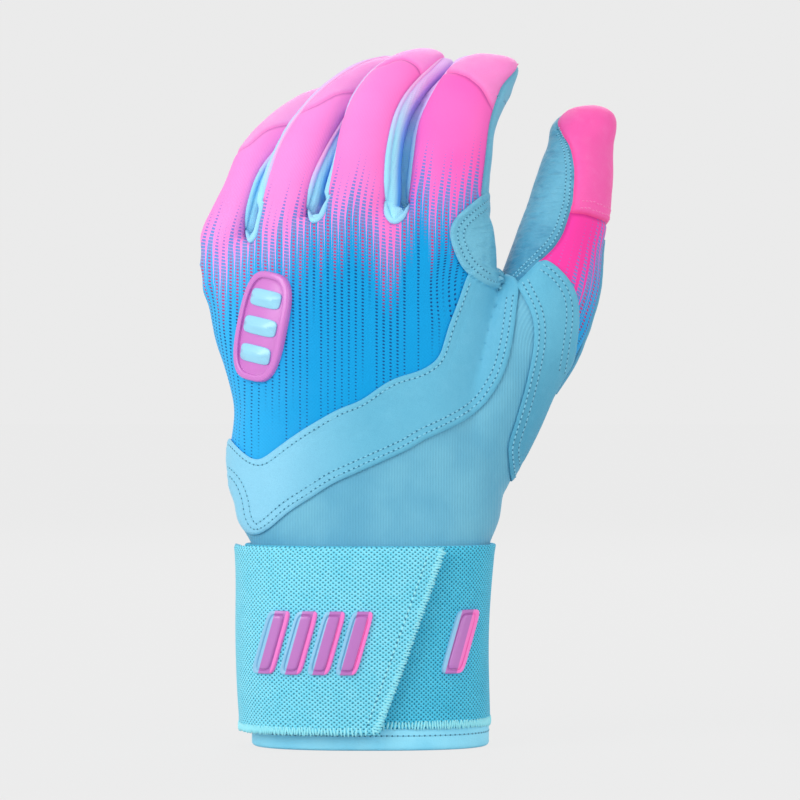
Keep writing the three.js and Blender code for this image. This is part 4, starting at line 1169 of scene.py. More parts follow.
def layStitches(bm, path, values=stitch, holes=None):
    # path is a list of places and normals close together; holes takes the needle holes between the threads
    if len(path) < 3:
        return
    places = np.array([p[:] for p, n in path])
    steps = np.linalg.norm(np.diff(places, axis=0), axis=1)
    steps = np.where(steps > 0.006, 0, steps)
    run = np.concatenate([[0], np.cumsum(steps)])
    normals = np.array([n[:] for p, n in path])
    count = int(run[-1] / (values["pitch"] * mm))
    for k in range(count):
        at = (k + 0.5) * values["pitch"] * mm
        place = np.array([np.interp(at, run, places[:, j]) for j in range(3)])
        ahead = np.array([np.interp(at + 0.8 * mm, run, places[:, j]) for j in range(3)])
        behind = np.array([np.interp(at - 0.8 * mm, run, places[:, j]) for j in range(3)])
        normal = Vector([np.interp(at, run, normals[:, j]) for j in range(3)]).normalized()
        way = Vector(ahead - behind)
        if way.length < 1e-6:
            continue
        way = (way - way.dot(normal) * normal).normalized()
        side = normal.cross(way)
        turn = Matrix((way, side, normal)).transposed().to_4x4()
        size = Matrix.Diagonal((values["length"] / 2 * mm, values["width"] * mm, values["height"] * mm, 1))
        bmesh.ops.create_uvsphere(bm, u_segments=6, v_segments=5, radius=1,
                                  matrix=Matrix.Translation(place) @ turn @ size)
        if holes is not None:
            size = Matrix.Diagonal((0.4 * mm, 0.34 * mm, 0.12 * mm, 1))
            spot = Vector(place) + way * values["pitch"] / 2 * mm + normal * 0.01 * mm
            bmesh.ops.create_uvsphere(holes, u_segments=6, v_segments=3, radius=1,
                                      matrix=Matrix.Translation(spot) @ turn @ size)


def insideSign(line, name):
    # which way is into the overlay from its edge line
    p = smoothLine(lines[line], 3)
    middle = offsetLine(p, 4)[len(p) // 2][None]
    return 1 if insideDistance(middle, outlineOf(name))[0] < 0 else -1


stitchPieces, holePieces = {}, {}
for name, rows in stitchRows.items():
    bm, holes = bmesh.new(), bmesh.new()
    for line, gap in rows:
        path = offsetLine(smoothLine(lines[line], 2, relax=20), gap * insideSign(line, name))
        inside = insideDistance(path, outlineOf(name)) < -gap * 0.5
        if name == "strip":
            inside &= (insideDistance(path, outlineOf("wrap")) > 2) & ((path[:, 1] > 293) | (path[:, 0] < 480))
        layStitches(bm, castLine(path[inside], overlayTrees[name]), fineStitch if name == "wrap" else stitch, holes)
    stitchPieces[name] = smoothObject(f"{name}Stitches", bm)
    holePieces[name] = smoothObject(f"{name}NeedleHoles", holes)
    for piece in (stitchPieces[name], holePieces[name]):
        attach(piece, "hand")


def lineOnDigit(name, places):
    # a line given along and round a digit, laid on the skin
    limb = limbs[name]
    places = smoothLine(places, 0.6)
    out = []
    for s, angle in places:
        k = int(np.clip(round(s * 2), 0, len(limb.along) - 1))
        turn = math.radians(angle)
        way = Vector(limb.side[k] * math.sin(turn) - limb.palm[k] * math.cos(turn))
        middle = Vector((limb.centre[k] + gloveShift) * mm)
        hit, normal, *_ = skinTree.ray_cast(middle + way * 0.045, -way)
        if hit is not None:
            out.append((hit, normal if normal.dot(way) > 0 else -normal))
    return out


def makeThumbStitches():
    # two rows above the cap's hem, and two along the inner leather's edge
    cap, leather, holes = bmesh.new(), bmesh.new(), bmesh.new()
    hem = seams["thumb"]["cap"]
    for up in (2.0, 4.6):
        row = [(float(smoothCurve(*zip(*hem), angle)) + up, angle) for angle in range(-24, 96, 12)]
        layStitches(cap, lineOnDigit("thumb", row))
    edge = seams["thumb"]["left"]
    for inward in (7, 14):
        row = [(s, float(smoothCurve(*zip(*edge), s)) - inward) for s in range(62, 128, 5)]
        layStitches(leather, lineOnDigit("thumb", row), fineStitch, holes)
    out = []
    for name, bm in (("thumbCapStitches", cap), ("thumbLeatherStitches", leather), ("thumbNeedleHoles", holes)):
        piece = smoothObject(name, bm)
        bendWith(piece, "thumb")
        out.append(piece)
    return out


thumbStitches = makeThumbStitches()
print("stitches", sum(len(p.data.polygons) for p in stitchPieces.values()))


# ---- strap, tab and cuff round the wrist
wrist = {"bottom": 4.6, "top": 69.2, "straightFrom": 11.0}
band = {"inner": 0.3, "outer": 2.7, "top": 69.2, "bottom": 7.4, "round": 0.9}
tab = {
    "inner": 4.6, "outer": 6.7, "topEnd": (15.3, 68.8), "bottomEnd": (-6.1, 8.5), "rootY": 6.0,
    "top": 69.0, "bottom": 5.6, "rowInset": 5.4, "turnStart": (-54.4, 1.5, 36.9), "turnEnd": (-54.4, -8.5, 36.9),
    "crown": 0.35, "run": 118.0, "softEdge": 1.3, "softDrop": 0.9,
}
cuff = {"height": 8.2, "outer": 2.3, "round": 1.2, "stitchAt": 5.1}


def wristRing(height, grow, count=220):
    return handRing(min(max(height, wrist["straightFrom"]), wrist["top"]), count, grow, level=height)


def closeRings(bm, rings):
    # a wall that closes on itself: the last ring meets the first
    bridgeRings(bm, layRings(bm, [(points + gloveShift) * mm for points in rings]), closed=True)
    bmesh.ops.recalc_face_normals(bm, faces=bm.faces)


def roundedWall(bottom, top, inner, outer, corner, steps=4, rows=16):
    # heights and offsets round a wall's section, up the outside and down the inside
    out = [(bottom + corner * (1 - math.sin(math.pi / 2 * k / steps)),
            outer - corner * (1 - math.cos(math.pi / 2 * k / steps))) for k in range(steps, -1, -1)]
    out += [(bottom + corner + (top - bottom - 2 * corner) * k / rows, outer) for k in range(1, rows)]
    out += [(top - corner * (1 - math.sin(math.pi / 2 * k / steps)),
             outer - corner * (1 - math.cos(math.pi / 2 * k / steps))) for k in range(0, steps + 1)]
    out += [(top, inner + 0.3), (top - 0.3, inner), (bottom + 0.3, inner), (bottom, inner + 0.3)]
    return out


def makeCuff():
    bm = bmesh.new()
    section = roundedWall(0.05, cuff["height"], -1.2, cuff["outer"], cuff["round"], rows=6)
    closeRings(bm, [wristRing(h, g) for h, g in section])
    piece = smoothObject("cuff", bm)
    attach(piece, "hand")
    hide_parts("cuff_band")
    return piece


def makeCuffStitches():
    threads, holes = bmesh.new(), bmesh.new()
    path = []
    for turn in range(-180, 181, 2):
        place, _, normal = wristSpot(turn, cuff["stitchAt"], cuff["outer"])
        path.append((place, normal))
    layStitches(threads, path, holes=holes)
    out = [smoothObject("cuffStitches", threads), smoothObject("cuffNeedleHoles", holes)]
    for piece in out:
        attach(piece, "hand")
    return out


def makeBand():
    bm = bmesh.new()
    section = roundedWall(band["bottom"], band["top"], band["inner"], band["outer"], band["round"], rows=24)
    closeRings(bm, [wristRing(h, g) for h, g in section])
    piece = smoothObject("strapBand", bm)
    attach(piece, "hand")
    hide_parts("strap_band")
    return piece


@functools.lru_cache(None)
def wristSection(height):
    return {k: float(v) for k, v in handAt(min(max(height, wrist["straightFrom"]), wrist["top"])).items()}


def onWrist(turn, height, grow):
    # a place round the wrist: turn is an angle of the section, 0 at the thumb side, -90 at the back
    s = wristSection(height)
    power = 2 / hand["squareness"]
    c, d = math.cos(math.radians(turn)), math.sin(math.radians(turn))
    u = math.copysign(abs(c) ** power, c)
    v = math.copysign(abs(d) ** power, d)
    back = max(0, -u) ** 2
    return np.array([s["centre"] + (s["halfWidth"] + grow) * u, (s["halfDepth"] + grow) * v + s["recede"] * back,
                     height])


def turnAtX(x, height, grow):
    # the angle on the back of the wrist where a given X lies
    low, high = -179.0, -1.0
    for _ in range(40):
        middle = (low + high) / 2
        if onWrist(middle, height, grow)[0] < x:
            low = middle
        else:
            high = middle
    return (low + high) / 2


@functools.lru_cache(None)
def tabSpan(height):
    # from the tab's root on the little-finger side to its slanted free edge
    low, high = 150.0, 180.0
    for _ in range(40):
        middle = (low + high) / 2
        if onWrist(middle, height, tab["inner"])[1] > tab["rootY"]:
            low = middle
        else:
            high = middle
    start = -360 + (low + high) / 2
    share = (height - tab["bottomEnd"][1]) / (tab["topEnd"][1] - tab["bottomEnd"][1])
    x = tab["bottomEnd"][0] + (tab["topEnd"][0] - tab["bottomEnd"][0]) * share
    return start, turnAtX(x, height, tab["outer"])


def turnWithTab(piece):
    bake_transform(piece)


def tabCrown(share):
    # the tab is a little thicker at mid height
    return tab["crown"] * math.sin(math.pi * share) ** 0.6


def makeTab():
    # a grid of the tab's outer face, with soft edges, then its thickness
    bm = bmesh.new()
    across, up = 110, 52
    bmesh.ops.create_grid(bm, x_segments=across, y_segments=up, size=1)
    for v in bm.verts:
        a, b = (v.co.x + 1) / 2, (v.co.y + 1) / 2
        height = round(tab["bottom"] + (tab["top"] - tab["bottom"]) * b, 4)
        start, end = tabSpan(height)
        turn = start + (end - start) * a
        gap = min((1 - a) * tab["run"], b * 63, (1 - b) * 63)
        soft = math.sqrt(max(0, 1 - max(0, 1 - gap / tab["softEdge"]) ** 2))
        v.co = (onWrist(turn, height, tab["outer"] - tab["softDrop"] * (1 - soft) + tabCrown(b)) + gloveShift) * mm
    bmesh.ops.recalc_face_normals(bm, faces=bm.faces)
    middle = max(bm.faces, key=lambda f: -f.calc_center_median().y)
    if middle.normal.y > 0:
        bmesh.ops.reverse_faces(bm, faces=bm.faces)
    piece = newObject("strapTab", bm)
    finishShell(piece, 1.9, 60)
    turnWithTab(piece)
    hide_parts("strap_tab")
    return piece


cuffPiece, bandPiece, tabPiece = makeCuff(), makeBand(), makeTab()


fringe = {"pitch": 0.95, "length": 3.6, "width": 0.42, "thick": 0.34}


def layThreads(bm, spots):
    # short threads over an edge: place, direction and normal of each
    for place, way, normal in spots:
        way = (way - way.dot(normal) * normal).normalized()
        turn = Matrix((way, normal.cross(way), normal)).transposed().to_4x4()
        long = fringe["length"] * random.uniform(0.8, 1.12)
        size = Matrix.Diagonal((long / 2 * mm, fringe["width"] * mm, fringe["thick"] * mm, 1))
        bmesh.ops.create_uvsphere(bm, u_segments=6, v_segments=5, radius=1,
                                  matrix=Matrix.Translation(place) @ turn @ size)


def wristSpot(turn, height, grow):
    at = lambda t, h: Vector((onWrist(t, h, grow) + gloveShift) * mm)
    place = at(turn, height)
    side = (at(turn + 1, height) - at(turn - 1, height)).normalized()
    return place, side, side.cross(Vector((0, 0, 1))).normalized()


def makeFringes():
    # overlock threads along the tab's lower and free edges, and along the band's lower edge
    tabThreads, bandThreads = bmesh.new(), bmesh.new()
    start, end = tabSpan(tab["bottom"])
    lengthOf = lambda a, b, h, g: sum((wristSpot(a + (b - a) * k / 60, h, g)[0]
                                       - wristSpot(a + (b - a) * (k + 1) / 60, h, g)[0]).length for k in range(60))
    for bm, low, high, height, grow in ((tabThreads, start, end - 1, tab["bottom"], tab["outer"]),
                                        (bandThreads, -180, 180, band["bottom"], band["outer"])):
        count = int(lengthOf(low, high, 20, grow) / (fringe["pitch"] * mm))
        spots = []
        for k in range(count):
            place, side, normal = wristSpot(low + (high - low) * (k + 0.5) / count, height + 1.2, grow + 0.1)
            tilt = random.uniform(-0.25, 0.25)
            spots.append((place, Vector((0, 0, 1)) + side * tilt, normal))
        layThreads(bm, spots)
    count = int(64 / fringe["pitch"])
    spots = []
    for k in range(count):
        height = tab["bottom"] + 1 + (tab["top"] - tab["bottom"] - 2) * (k + 0.5) / count
        turn = tabSpan(round(height, 3))[1]
        place, side, normal = wristSpot(turn - 1.5, height, tab["outer"] + 0.05)
        spots.append((place, side + Vector((0, 0, random.uniform(-0.5, 0.1))), normal))
    layThreads(tabThreads, spots)
    out = []
    for name, bm, body in (("tabFringe", tabThreads, "strap_tab"), ("bandFringe", bandThreads, "hand")):
        piece = smoothObject(name, bm)
        if body == "hand":
            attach(piece, body)
        else:
            turnWithTab(piece)
        out.append(piece)
    return out


def makeTabStitches():
    # a row of stitches in from the tab's slanted edge
    threads, holes, path = bmesh.new(), bmesh.new(), []
    for height in np.linspace(tab["top"] - 2.5, tab["bottom"] + 3.5, 90):
        edge = onWrist(tabSpan(round(float(height), 3))[1], height, tab["outer"])[0]
        crown = tabCrown((height - tab["bottom"]) / (tab["top"] - tab["bottom"]))
        place, _, normal = wristSpot(turnAtX(edge - tab["rowInset"], height, tab["outer"]), height,
                                     tab["outer"] + crown)
        path.append((place, normal))
    layStitches(threads, path, {**stitch, "pitch": 2.1, "length": 1.3, "width": 0.42}, holes)
    out = [smoothObject("tabStitches", threads), smoothObject("tabNeedleHoles", holes)]
    for piece in out:
        turnWithTab(piece)
    return out


fringes = makeFringes()
cuffStitches, tabStitches = makeCuffStitches(), makeTabStitches()
print("strap made")


# ---- moulded bars on the strap, and the badge
bars = {"bottom": 26.0, "top": 47.5, "lean": 0.28, "width": 7.4, "height": 1.5}
tabBars = [-0.86, -0.62, -0.38, -0.14]


def roundedOutline(halfX, halfZ, squareness, count):
    # a rounded rectangle with even steps
    a = np.linspace(0, 2 * math.pi, 1441)
    x = np.sign(np.cos(a)) * np.abs(np.cos(a)) ** (2 / squareness) * halfX
    z = np.sign(np.sin(a)) * np.abs(np.sin(a)) ** (2 / squareness) * halfZ
    run = np.concatenate([[0], np.cumsum(np.hypot(np.diff(x), np.diff(z)))])
    at = np.arange(count) / count * run[-1]
    return list(zip(np.interp(at, run, x), np.interp(at, run, z)))


def ringsToPiece(name, rings, sharp=40):
    bm = bmesh.new()
    loftRings(bm, rings)
    bmesh.ops.triangulate(bm, faces=[f for f in bm.faces if len(f.verts) > 4])
    bmesh.ops.recalc_face_normals(bm, faces=bm.faces)
    piece = smoothObject(name, bm)
    piece.data.set_sharp_from_angle(angle=math.radians(sharp))
    return piece


def makeBar(name, centreX, grow, node, body):
    # a slanted bar with a rim and a raised middle, lofted from rings that follow the strap
    tall = bars["top"] - bars["bottom"]
    middle = (bars["top"] + bars["bottom"]) / 2
    rings = []
    for inset, lift in ((0, -0.4), (0, 0.75), (0.12, 0.95), (0.35, 1.02), (1.0, 1.02), (1.12, 0.9), (1.25, 0.62),
                        (1.5, 0.6), (1.62, 0.85), (1.8, 1.25), (2.1, 1.36), (2.6, 1.4), (3.5, 1.4)):
        ring = []
        for x, z in roundedOutline(bars["width"] / 2 - inset, tall / 2 - inset, 7.0, 64):
            turn = turnAtX(centreX + x + bars["lean"] * z, middle + z, grow)
            spot = onWrist(turn, middle + z, grow + lift * bars["height"] / 1.4)
            ring.append((spot + gloveShift) * mm)
        rings.append(ring)
    piece = ringsToPiece(name, rings, 42)
    share = []
    for v in piece.data.vertices:
        spot = np.array(v.co[:]) / mm - gloveShift
        share.append((spot[0] - centreX - bars["lean"] * (spot[2] - middle)) / (bars["width"] / 2))
    piece.data.attributes.new("share", "FLOAT", "POINT").data.foreach_set("value", share)
    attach(piece, body)
    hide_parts(node)
    return piece


def wristX(share):
    s = wristSection(36.0)
    return s["centre"] + s["halfWidth"] * share


barPieces = [makeBar(f"tabBar{k + 1}", wristX(share) + 1.0, tab["outer"] + 0.3, f"tab_bar_{k + 1}", "strap_tab")
             for k, share in enumerate(tabBars)]
barPieces.append(makeBar("bandBar", wristX(0.80), band["outer"], "band_bar", "hand"))
print("bars made")


badge = {
    "centre": (-47.4, 143.9), "half": (10.5, 19.0), "lean": -14.0, "squareness": 3.2, "rim": 2.3,
    "rimHeight": 2.5, "floor": 1.1, "ribs": (-0.5, 0.0, 0.5), "bow": (70, 260), "lift": 0.9,
}


def badgeSpot(across, up):
    # where a place of the badge meets the skin, seen from the front
    lean = math.radians(badge["lean"])
    x = badge["centre"][0] + across * math.cos(lean) - up * math.sin(lean)
    z = badge["centre"][1] + across * math.sin(lean) + up * math.cos(lean)
    start = Vector(((x + gloveShift[0]) * mm, -0.2, z * mm))
    hit, normal, *_ = skinTree.ray_cast(start, Vector((0, 1, 0)))
    return hit, normal


@functools.lru_cache(None)
def badgePlane():
    # the badge is stiff, so it keeps to one gently bowed face
    spots = [badgeSpot(badge["half"][0] * a * 0.7, badge["half"][1] * b * 0.7)
             for a in (-1, 0, 1) for b in (-1, 0, 1)]
    middle = sum((p for p, n in spots), Vector()) / len(spots)
    normal = sum((n if n.y < 0 else -n for p, n in spots), Vector()).normalized()
    lean = math.radians(badge["lean"])
    up = Vector((-math.sin(lean), 0, math.cos(lean)))
    up = (up - up.dot(normal) * normal).normalized()
    return middle, normal, up.cross(normal).normalized(), up


def onBadge(across, up, lift):
    middle, normal, side, high = badgePlane()
    if side.x < 0:
        side = -side
    bow = -(across ** 2) / badge["bow"][0] - (up ** 2) / badge["bow"][1]
    return middle + (side * across + high * up + normal * (lift + bow + badge["lift"])) * mm


def superRing(half, squareness, inset, lift, count=96, shift=0):
    return [onBadge(x, z + shift, lift)
            for x, z in roundedOutline(half[0] - inset, half[1] - inset, squareness, count)]


def makeBadge():
    half, q = badge["half"], badge["squareness"]
    rim, high, floor = badge["rim"], badge["rimHeight"], badge["floor"]
    base = ringsToPiece("badgeBase", [superRing(half, q, i, h) for i, h in (
        (0.5, -1.6), (0.1, -0.4), (0, 0.9), (0.12, high - 0.35), (0.4, high - 0.08), (0.75, high), (rim - 0.7, high),
        (rim - 0.4, high - 0.1), (rim - 0.1, high - 0.4), (rim, floor + 0.1), (rim + 0.2, floor), (rim + 1.2, floor),
        (rim + 3, floor), (rim + 5, floor), (rim + 7, floor), (half[0] - 0.3, floor))])
    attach(base, "hand")
    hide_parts("badge_base")
    ribs = []
    for k, share in enumerate(badge["ribs"]):
        up = share * (half[1] - rim) * 1.16
        size = (half[0] - rim - (1.0 if k == 1 else 1.6), 3.0)
        rib = ringsToPiece(f"badgeRib{k + 1}", [superRing(size, 5.0, i, h, 64, up) for i, h in (
            (0, floor - 0.4), (0, floor + 0.4), (0.2, floor + 0.6), (2.5, floor + 1.6), (2.85, floor + 1.62))], 20)
        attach(rib, "hand")
        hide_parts(f"badge_rib_{k + 1}")
        ribs.append(rib)
    return base, ribs


badgePiece, badgeRibs = makeBadge()
print("badge made")


# ---- palm patch and thumb piping
palmPatch = {"centre": (-27.5, 112.0), "half": (17.0, 23.0), "squareness": 2.6}


def makePalmPatch():
    # rings laid on the palm from behind, lifted off it
    def spot(x, z, lift):
        start = Vector(((x + gloveShift[0]) * mm, 0.2, z * mm))
        hit, normal, *_ = skinTree.ray_cast(start, Vector((0, -1, 0)))
        normal = normal if normal.y > 0 else -normal
        return hit + normal * lift * mm
    rings = []
    for share, lift in ((1.0, 0.0), (1.0, 0.6), (0.985, 1.0), (0.95, 1.2), (0.9, 1.2), (0.885, 1.02), (0.87, 1.2),
                        (0.75, 1.22), (0.6, 1.22), (0.45, 1.22), (0.3, 1.22), (0.15, 1.22)):
        (cx, cz), (hx, hz) = palmPatch["centre"], palmPatch["half"]
        rings.append([spot(cx + x, cz + z, lift)
                      for x, z in roundedOutline(hx * share, hz * share, palmPatch["squareness"], 90)])
    piece = ringsToPiece("palmPatch", rings)
    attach(piece, "hand")
    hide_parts("palm_patch")
    return piece


def makePiping():
    # a thin welt along the outer seam of the thumb
    limb = limbs["thumb"]
    table = np.array(seams["thumb"]["right"], float)
    bm = bmesh.new()
    places, normals = [], []
    for s in np.linspace(38, 92, 60):
        k = int(round(s * 2))
        angle = math.radians(float(smoothCurve(table[:, 0], table[:, 1], s)))
        way = Vector(limb.side[k] * math.sin(angle) - limb.palm[k] * math.cos(angle))
        start = Vector(limb.centre[k] + gloveShift) * mm
        hit, normal, *_ = skinTree.ray_cast(start + way * 0.06, -way)
        if hit is not None:
            places.append(np.array(hit + normal * 0.25 * mm))
            normals.append(np.array(normal))
    share = np.linspace(0.03, 0.97, len(places))
    sweepTube(bm, np.array(places), np.array(normals), 0.9 * np.sin(np.pi * share) ** 0.25)
    bmesh.ops.recalc_face_normals(bm, faces=bm.faces)
    piece = smoothObject("thumbPiping", bm)
    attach(piece, "hand")
    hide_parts("thumb_piping")
    return piece


patchPiece, pipingPiece = makePalmPatch(), makePiping()
print("patch and piping made")


# ---- materials
def tint(red, green, blue):
    # a colour as it looks on a screen, 0 to 255
    out = []
    for c in (red, green, blue):
        c /= 255
        out.append(c / 12.92 if c <= 0.04045 else ((c + 0.055) / 1.055) ** 2.4)
    return (*out, 1.0)


class Sock:
    # a socket that takes arithmetic

    def __init__(self, finish, socket):
        self.finish, self.socket = finish, socket

    def do(self, operation, *values):
        node = self.finish.node("ShaderNodeMath", {"operation": operation}, dict(enumerate(values)))
        return Sock(self.finish, node.outputs[0])

    def __add__(self, other):
        return self.do("ADD", self, other)

    def __radd__(self, other):
        return self.do("ADD", other, self)

    def __sub__(self, other):
        return self.do("SUBTRACT", self, other)

    def __rsub__(self, other):
        return self.do("SUBTRACT", other, self)

    def __mul__(self, other):
        return self.do("MULTIPLY", self, other)

    def __rmul__(self, other):
        return self.do("MULTIPLY", other, self)

    def __truediv__(self, other):
        return self.do("DIVIDE", self, other)

    def __neg__(self):
        return self.do("MULTIPLY", self, -1)

    def power(self, other):
        return self.do("POWER", self, other)

    def sine(self):
        return self.do("SINE", self)

    def size(self):
        return self.do("ABSOLUTE", self)

    def whole(self):
        return self.do("FLOOR", self)

    def rest(self):
        return self.do("FRACT", self)

    def atLeast(self, other):
        return self.do("MAXIMUM", self, other)

    def rise(self, low, high):
        # 0 below low, 1 above high, smooth between; high may be the lower one
        node = self.finish.node("ShaderNodeMapRange", {"interpolation_type": "SMOOTHSTEP"},
                                {"Value": self, "From Min": low, "From Max": high})
        return Sock(self.finish, node.outputs[0])


class Finish:
    # one material, built from expressions

    def __init__(self, name, **constants):
        self.material = bpy.data.materials.new(name)
        self.material.use_nodes = True
        self.tree = self.material.node_tree
        self.tree.nodes.clear()
        self.shader = self.node("ShaderNodeBsdfPrincipled", inputs=constants)
        self.node("ShaderNodeOutputMaterial", inputs={"Surface": self.shader.outputs[0]})
        self.coords = None

    def node(self, kind, settings=None, inputs=None):
        made = self.tree.nodes.new(kind)
        for key, value in (settings or {}).items():
            if key == "stops":
                ramp = made.color_ramp
                while len(ramp.elements) < len(value):
                    ramp.elements.new(0.5)
                for element, (place, colour) in zip(ramp.elements, value):
                    element.position, element.color = place, colour
            else:
                setattr(made, key, value)
        for key, value in (inputs or {}).items():
            target = made.inputs[key]
            if isinstance(value, Sock):
                self.tree.links.new(value.socket, target)
            elif isinstance(value, bpy.types.NodeSocket):
                self.tree.links.new(value, target)
            else:
                target.default_value = value
        return made

    def place(self):
        # Object coordinates, in metres
        if self.coords is None:
            self.coords = Sock(self, self.node("ShaderNodeTexCoord").outputs["Object"])
        return self.coords

    def axes(self):
        node = self.node("ShaderNodeSeparateXYZ", inputs={0: self.place()})
        return [Sock(self, node.outputs[k]) for k in range(3)]

    def measure(self, name):
        return Sock(self, self.node("ShaderNodeAttribute", {"attribute_name": name}).outputs["Fac"])

    def noise(self, sizeMm, detail=2.0, roughness=0.5, at=None):
        node = self.node("ShaderNodeTexNoise", inputs={"Vector": at or self.place(), "Scale": 1000 / sizeMm,
                                                       "Detail": detail, "Roughness": roughness})
        return Sock(self, node.outputs["Fac"])

    def cells(self, sizeMm, feature="F1"):
        node = self.node("ShaderNodeTexVoronoi", {"feature": feature},
                         {"Vector": self.place(), "Scale": 1000 / sizeMm})
        return Sock(self, node.outputs["Distance"])

    def chance(self, value):
        # a steady random number for a whole number
        node = self.node("ShaderNodeTexWhiteNoise", {"noise_dimensions": "1D"}, {"W": value})
        return Sock(self, node.outputs["Value"])

    def wave1(self, value, scale):
        node = self.node("ShaderNodeTexNoise", {"noise_dimensions": "1D"}, {"W": value, "Scale": scale,
                                                                            "Detail": 1.0})
        return Sock(self, node.outputs["Fac"])

    def stretch(self, x, y, z):
        # Object coordinates stretched along the axes
        node = self.node("ShaderNodeMapping", inputs={"Vector": self.place(), "Scale": (x, y, z)})
        return Sock(self, node.outputs[0])

    def mix(self, factor, low, high, blend="MIX"):
        node = self.node("ShaderNodeMix", {"data_type": "RGBA", "blend_type": blend}, {0: factor, 6: low, 7: high})
        return Sock(self, node.outputs[2])

    def bump(self, height, depthMm, normal=None):
        inputs = {"Height": height, "Distance": depthMm * mm, "Strength": 1.0}
        if normal is not None:
            inputs["Normal"] = normal
        return Sock(self, self.node("ShaderNodeBump", inputs=inputs).outputs[0])

    def give(self, **sockets):
        for key, value in sockets.items():
            target = self.shader.inputs[{"colour": "Base Color", "roughness": "Roughness", "normal": "Normal"}[key]]
            self.tree.links.new(value.socket, target)
        return self.material


printLook = {
    # the second pink of each pair and the paler blue are painted light: the print is drawn paler towards the left,
    # where the key lamp falls
    "pinks": (tint(254, 96, 190), tint(255, 148, 224)), "thumbPinks": (tint(252, 62, 168), tint(255, 92, 190)),
    "blue": tint(2, 156, 220), "blueLight": tint(58, 190, 250), "ink": tint(8, 62, 122),
    "inkRed": tint(205, 38, 112), "dash": tint(140, 118, 208),
    "columns": 2.4, "rows": 1.16, "top": 204.0, "bottom": 146.0, "spread": 26.0,
}


def makePrint(name, top, bottom, pinks, lean=None):
    f = Finish(name, **{"Sheen Weight": 0.06, "Sheen Roughness": 0.4, "Specular IOR Level": 0.14})
    look = printLook
    across, along = f.measure("printAcross"), f.measure("printAlong")
    column = across / look["columns"]
    index = column.whole()
    inColumn = (column.rest() - 0.5).size()
    inRow = (((along + across * 0.22) / look["rows"]).rest() - 0.5).size()
    uneven = (f.chance(index) - 0.5) * 0.45 + (f.wave1(index, 0.16) - 0.5) * 1.7
    lower = across.rise(-26.0, -58.0) * 13.0
    if lean:
        uneven = uneven * 0.3 + across.rise(*lean) * 1.5 - 0.85
    fade = (top - along - lower + uneven * look["spread"]) / (top - bottom)
    # dashes of blue grow in the pink, until the columns meet
    halfWide = fade.rise(-0.05, 0.62) * 0.5 + 0.02
    halfHigh = fade.rise(0.0, 0.5) * 0.42 + 0.08
    dash = (halfWide - inColumn).rise(-0.05, 0.05) * (halfHigh - inRow).rise(-0.07, 0.07)
    faint = fade.rise(-0.12, 0.3)
    body = fade.rise(0.44, 0.62) * (inColumn + 0.14 - fade.rise(0.5, 0.74) * 0.3).rise(0.5, 0.44)
    blueness = (dash * faint).atLeast(body)
    # dark dots stay in the blue and shrink
    dotSize = 1.05 - fade.rise(0.45, 1.7) * 0.5
    dotShape = ((inColumn / 0.22).power(2) + (inRow / 0.3).power(2)).power(0.5)
    life = f.chance(index + 17) * 1.7 + 0.75 + across.rise(-5.0, -45.0) * 0.6 - fade
    dot = (dotSize - dotShape).rise(-0.12, 0.16) * fade.rise(0.3, 0.5) * life.rise(0.0, 0.35)
    shade = f.noise(38, 2)
    # pink: a random tone, and paler towards the little finger, which is painted light from the key lamp on the left
    pink = f.mix((shade - 0.5) * 0.8 + across.rise(34.0, -64.0), *pinks)
    # blue: paler near the hand's left edge, which is painted light from the key lamp; on the thumb's print it only
    # varies at random
    left = shade * 0.3 if lean else across.rise(-30.0, -66.0) * 0.7
    blue = f.mix(left, look["blue"], look["blueLight"])
    dashInk = f.mix(fade.rise(0.15, 0.5), look["dash"], blue)
    colour = f.mix(blueness, pink, dashInk)
    ink = f.mix(fade.rise(0.5, 0.78), look["inkRed"], look["ink"])
    colour = f.mix(dot * 0.92, colour, ink)
    # painted shade: the print darkens along the seams, where the panels dip into them
    edge = f.measure("seamGap").rise(1.9, 0.2)
    colour = f.mix(edge * 0.35, colour, tint(90, 40, 140), "MULTIPLY")
    knit = ((across * 5.2).sine() * (along * 5.2).sine()) * 0.5 + 0.5
    normal = f.bump(knit * 0.5 + f.noise(0.6, 3) * 0.5, 0.09)
    return f.give(colour=colour, roughness=0.55 + (f.noise(5, 3) - 0.5) * 0.2, normal=normal)


def makeLeather(name, colour, light, dark, grain=0.8, roughness=0.46, wrinkle=0.0, paintedShading=()):
    f = Finish(name, **{"Specular IOR Level": 0.3})
    cell = f.cells(grain, "SMOOTH_F1")
    pores = f.cells(grain * 0.55, "DISTANCE_TO_EDGE").rise(0.0, 0.14)
    mottle = f.noise(14, 3)
    tone = f.mix(mottle.rise(0.2, 0.6) * 0.3 + 0.7, dark, colour)
    # painted light and shade: the colour turns along an axis of the object towards a lighter or a darker one
    for axis, low, high, other, share in paintedShading:
        tone = f.mix((f.axes()[axis] * 1000).rise(low, high) * share, tone, other)
    tone = f.mix(f.noise(3.2, 3).rise(0.45, 0.8) * 0.16, tone, light)
    # painted shade: the leather darkens along the seams, where the panels dip into them
    edge = f.measure("seamGap").rise(1.6, 0.1)
    tone = f.mix(edge * 0.4, tone, dark, "MULTIPLY")
    tone = f.mix((1 - pores) * 0.16, tone, dark, "MULTIPLY")
    height = cell * 0.35 + pores * 0.4 + f.noise(0.5, 3) * 0.25
    normal = f.bump(height, 0.075)
    if wrinkle:
        folds = f.noise(2.7, 2, 0.55, at=f.stretch(0.4, 0.55, 1.35))
        normal = f.bump(folds, wrinkle, normal)
        # painted shade: darker in the troughs of the wrinkles
        tone = f.mix(folds.rise(0.5, 0.25) * min(0.5, wrinkle * 0.2), tone, dark, "MULTIPLY")
    return f.give(colour=tone, roughness=roughness + (f.noise(4, 3) - 0.5) * 0.22, normal=normal)


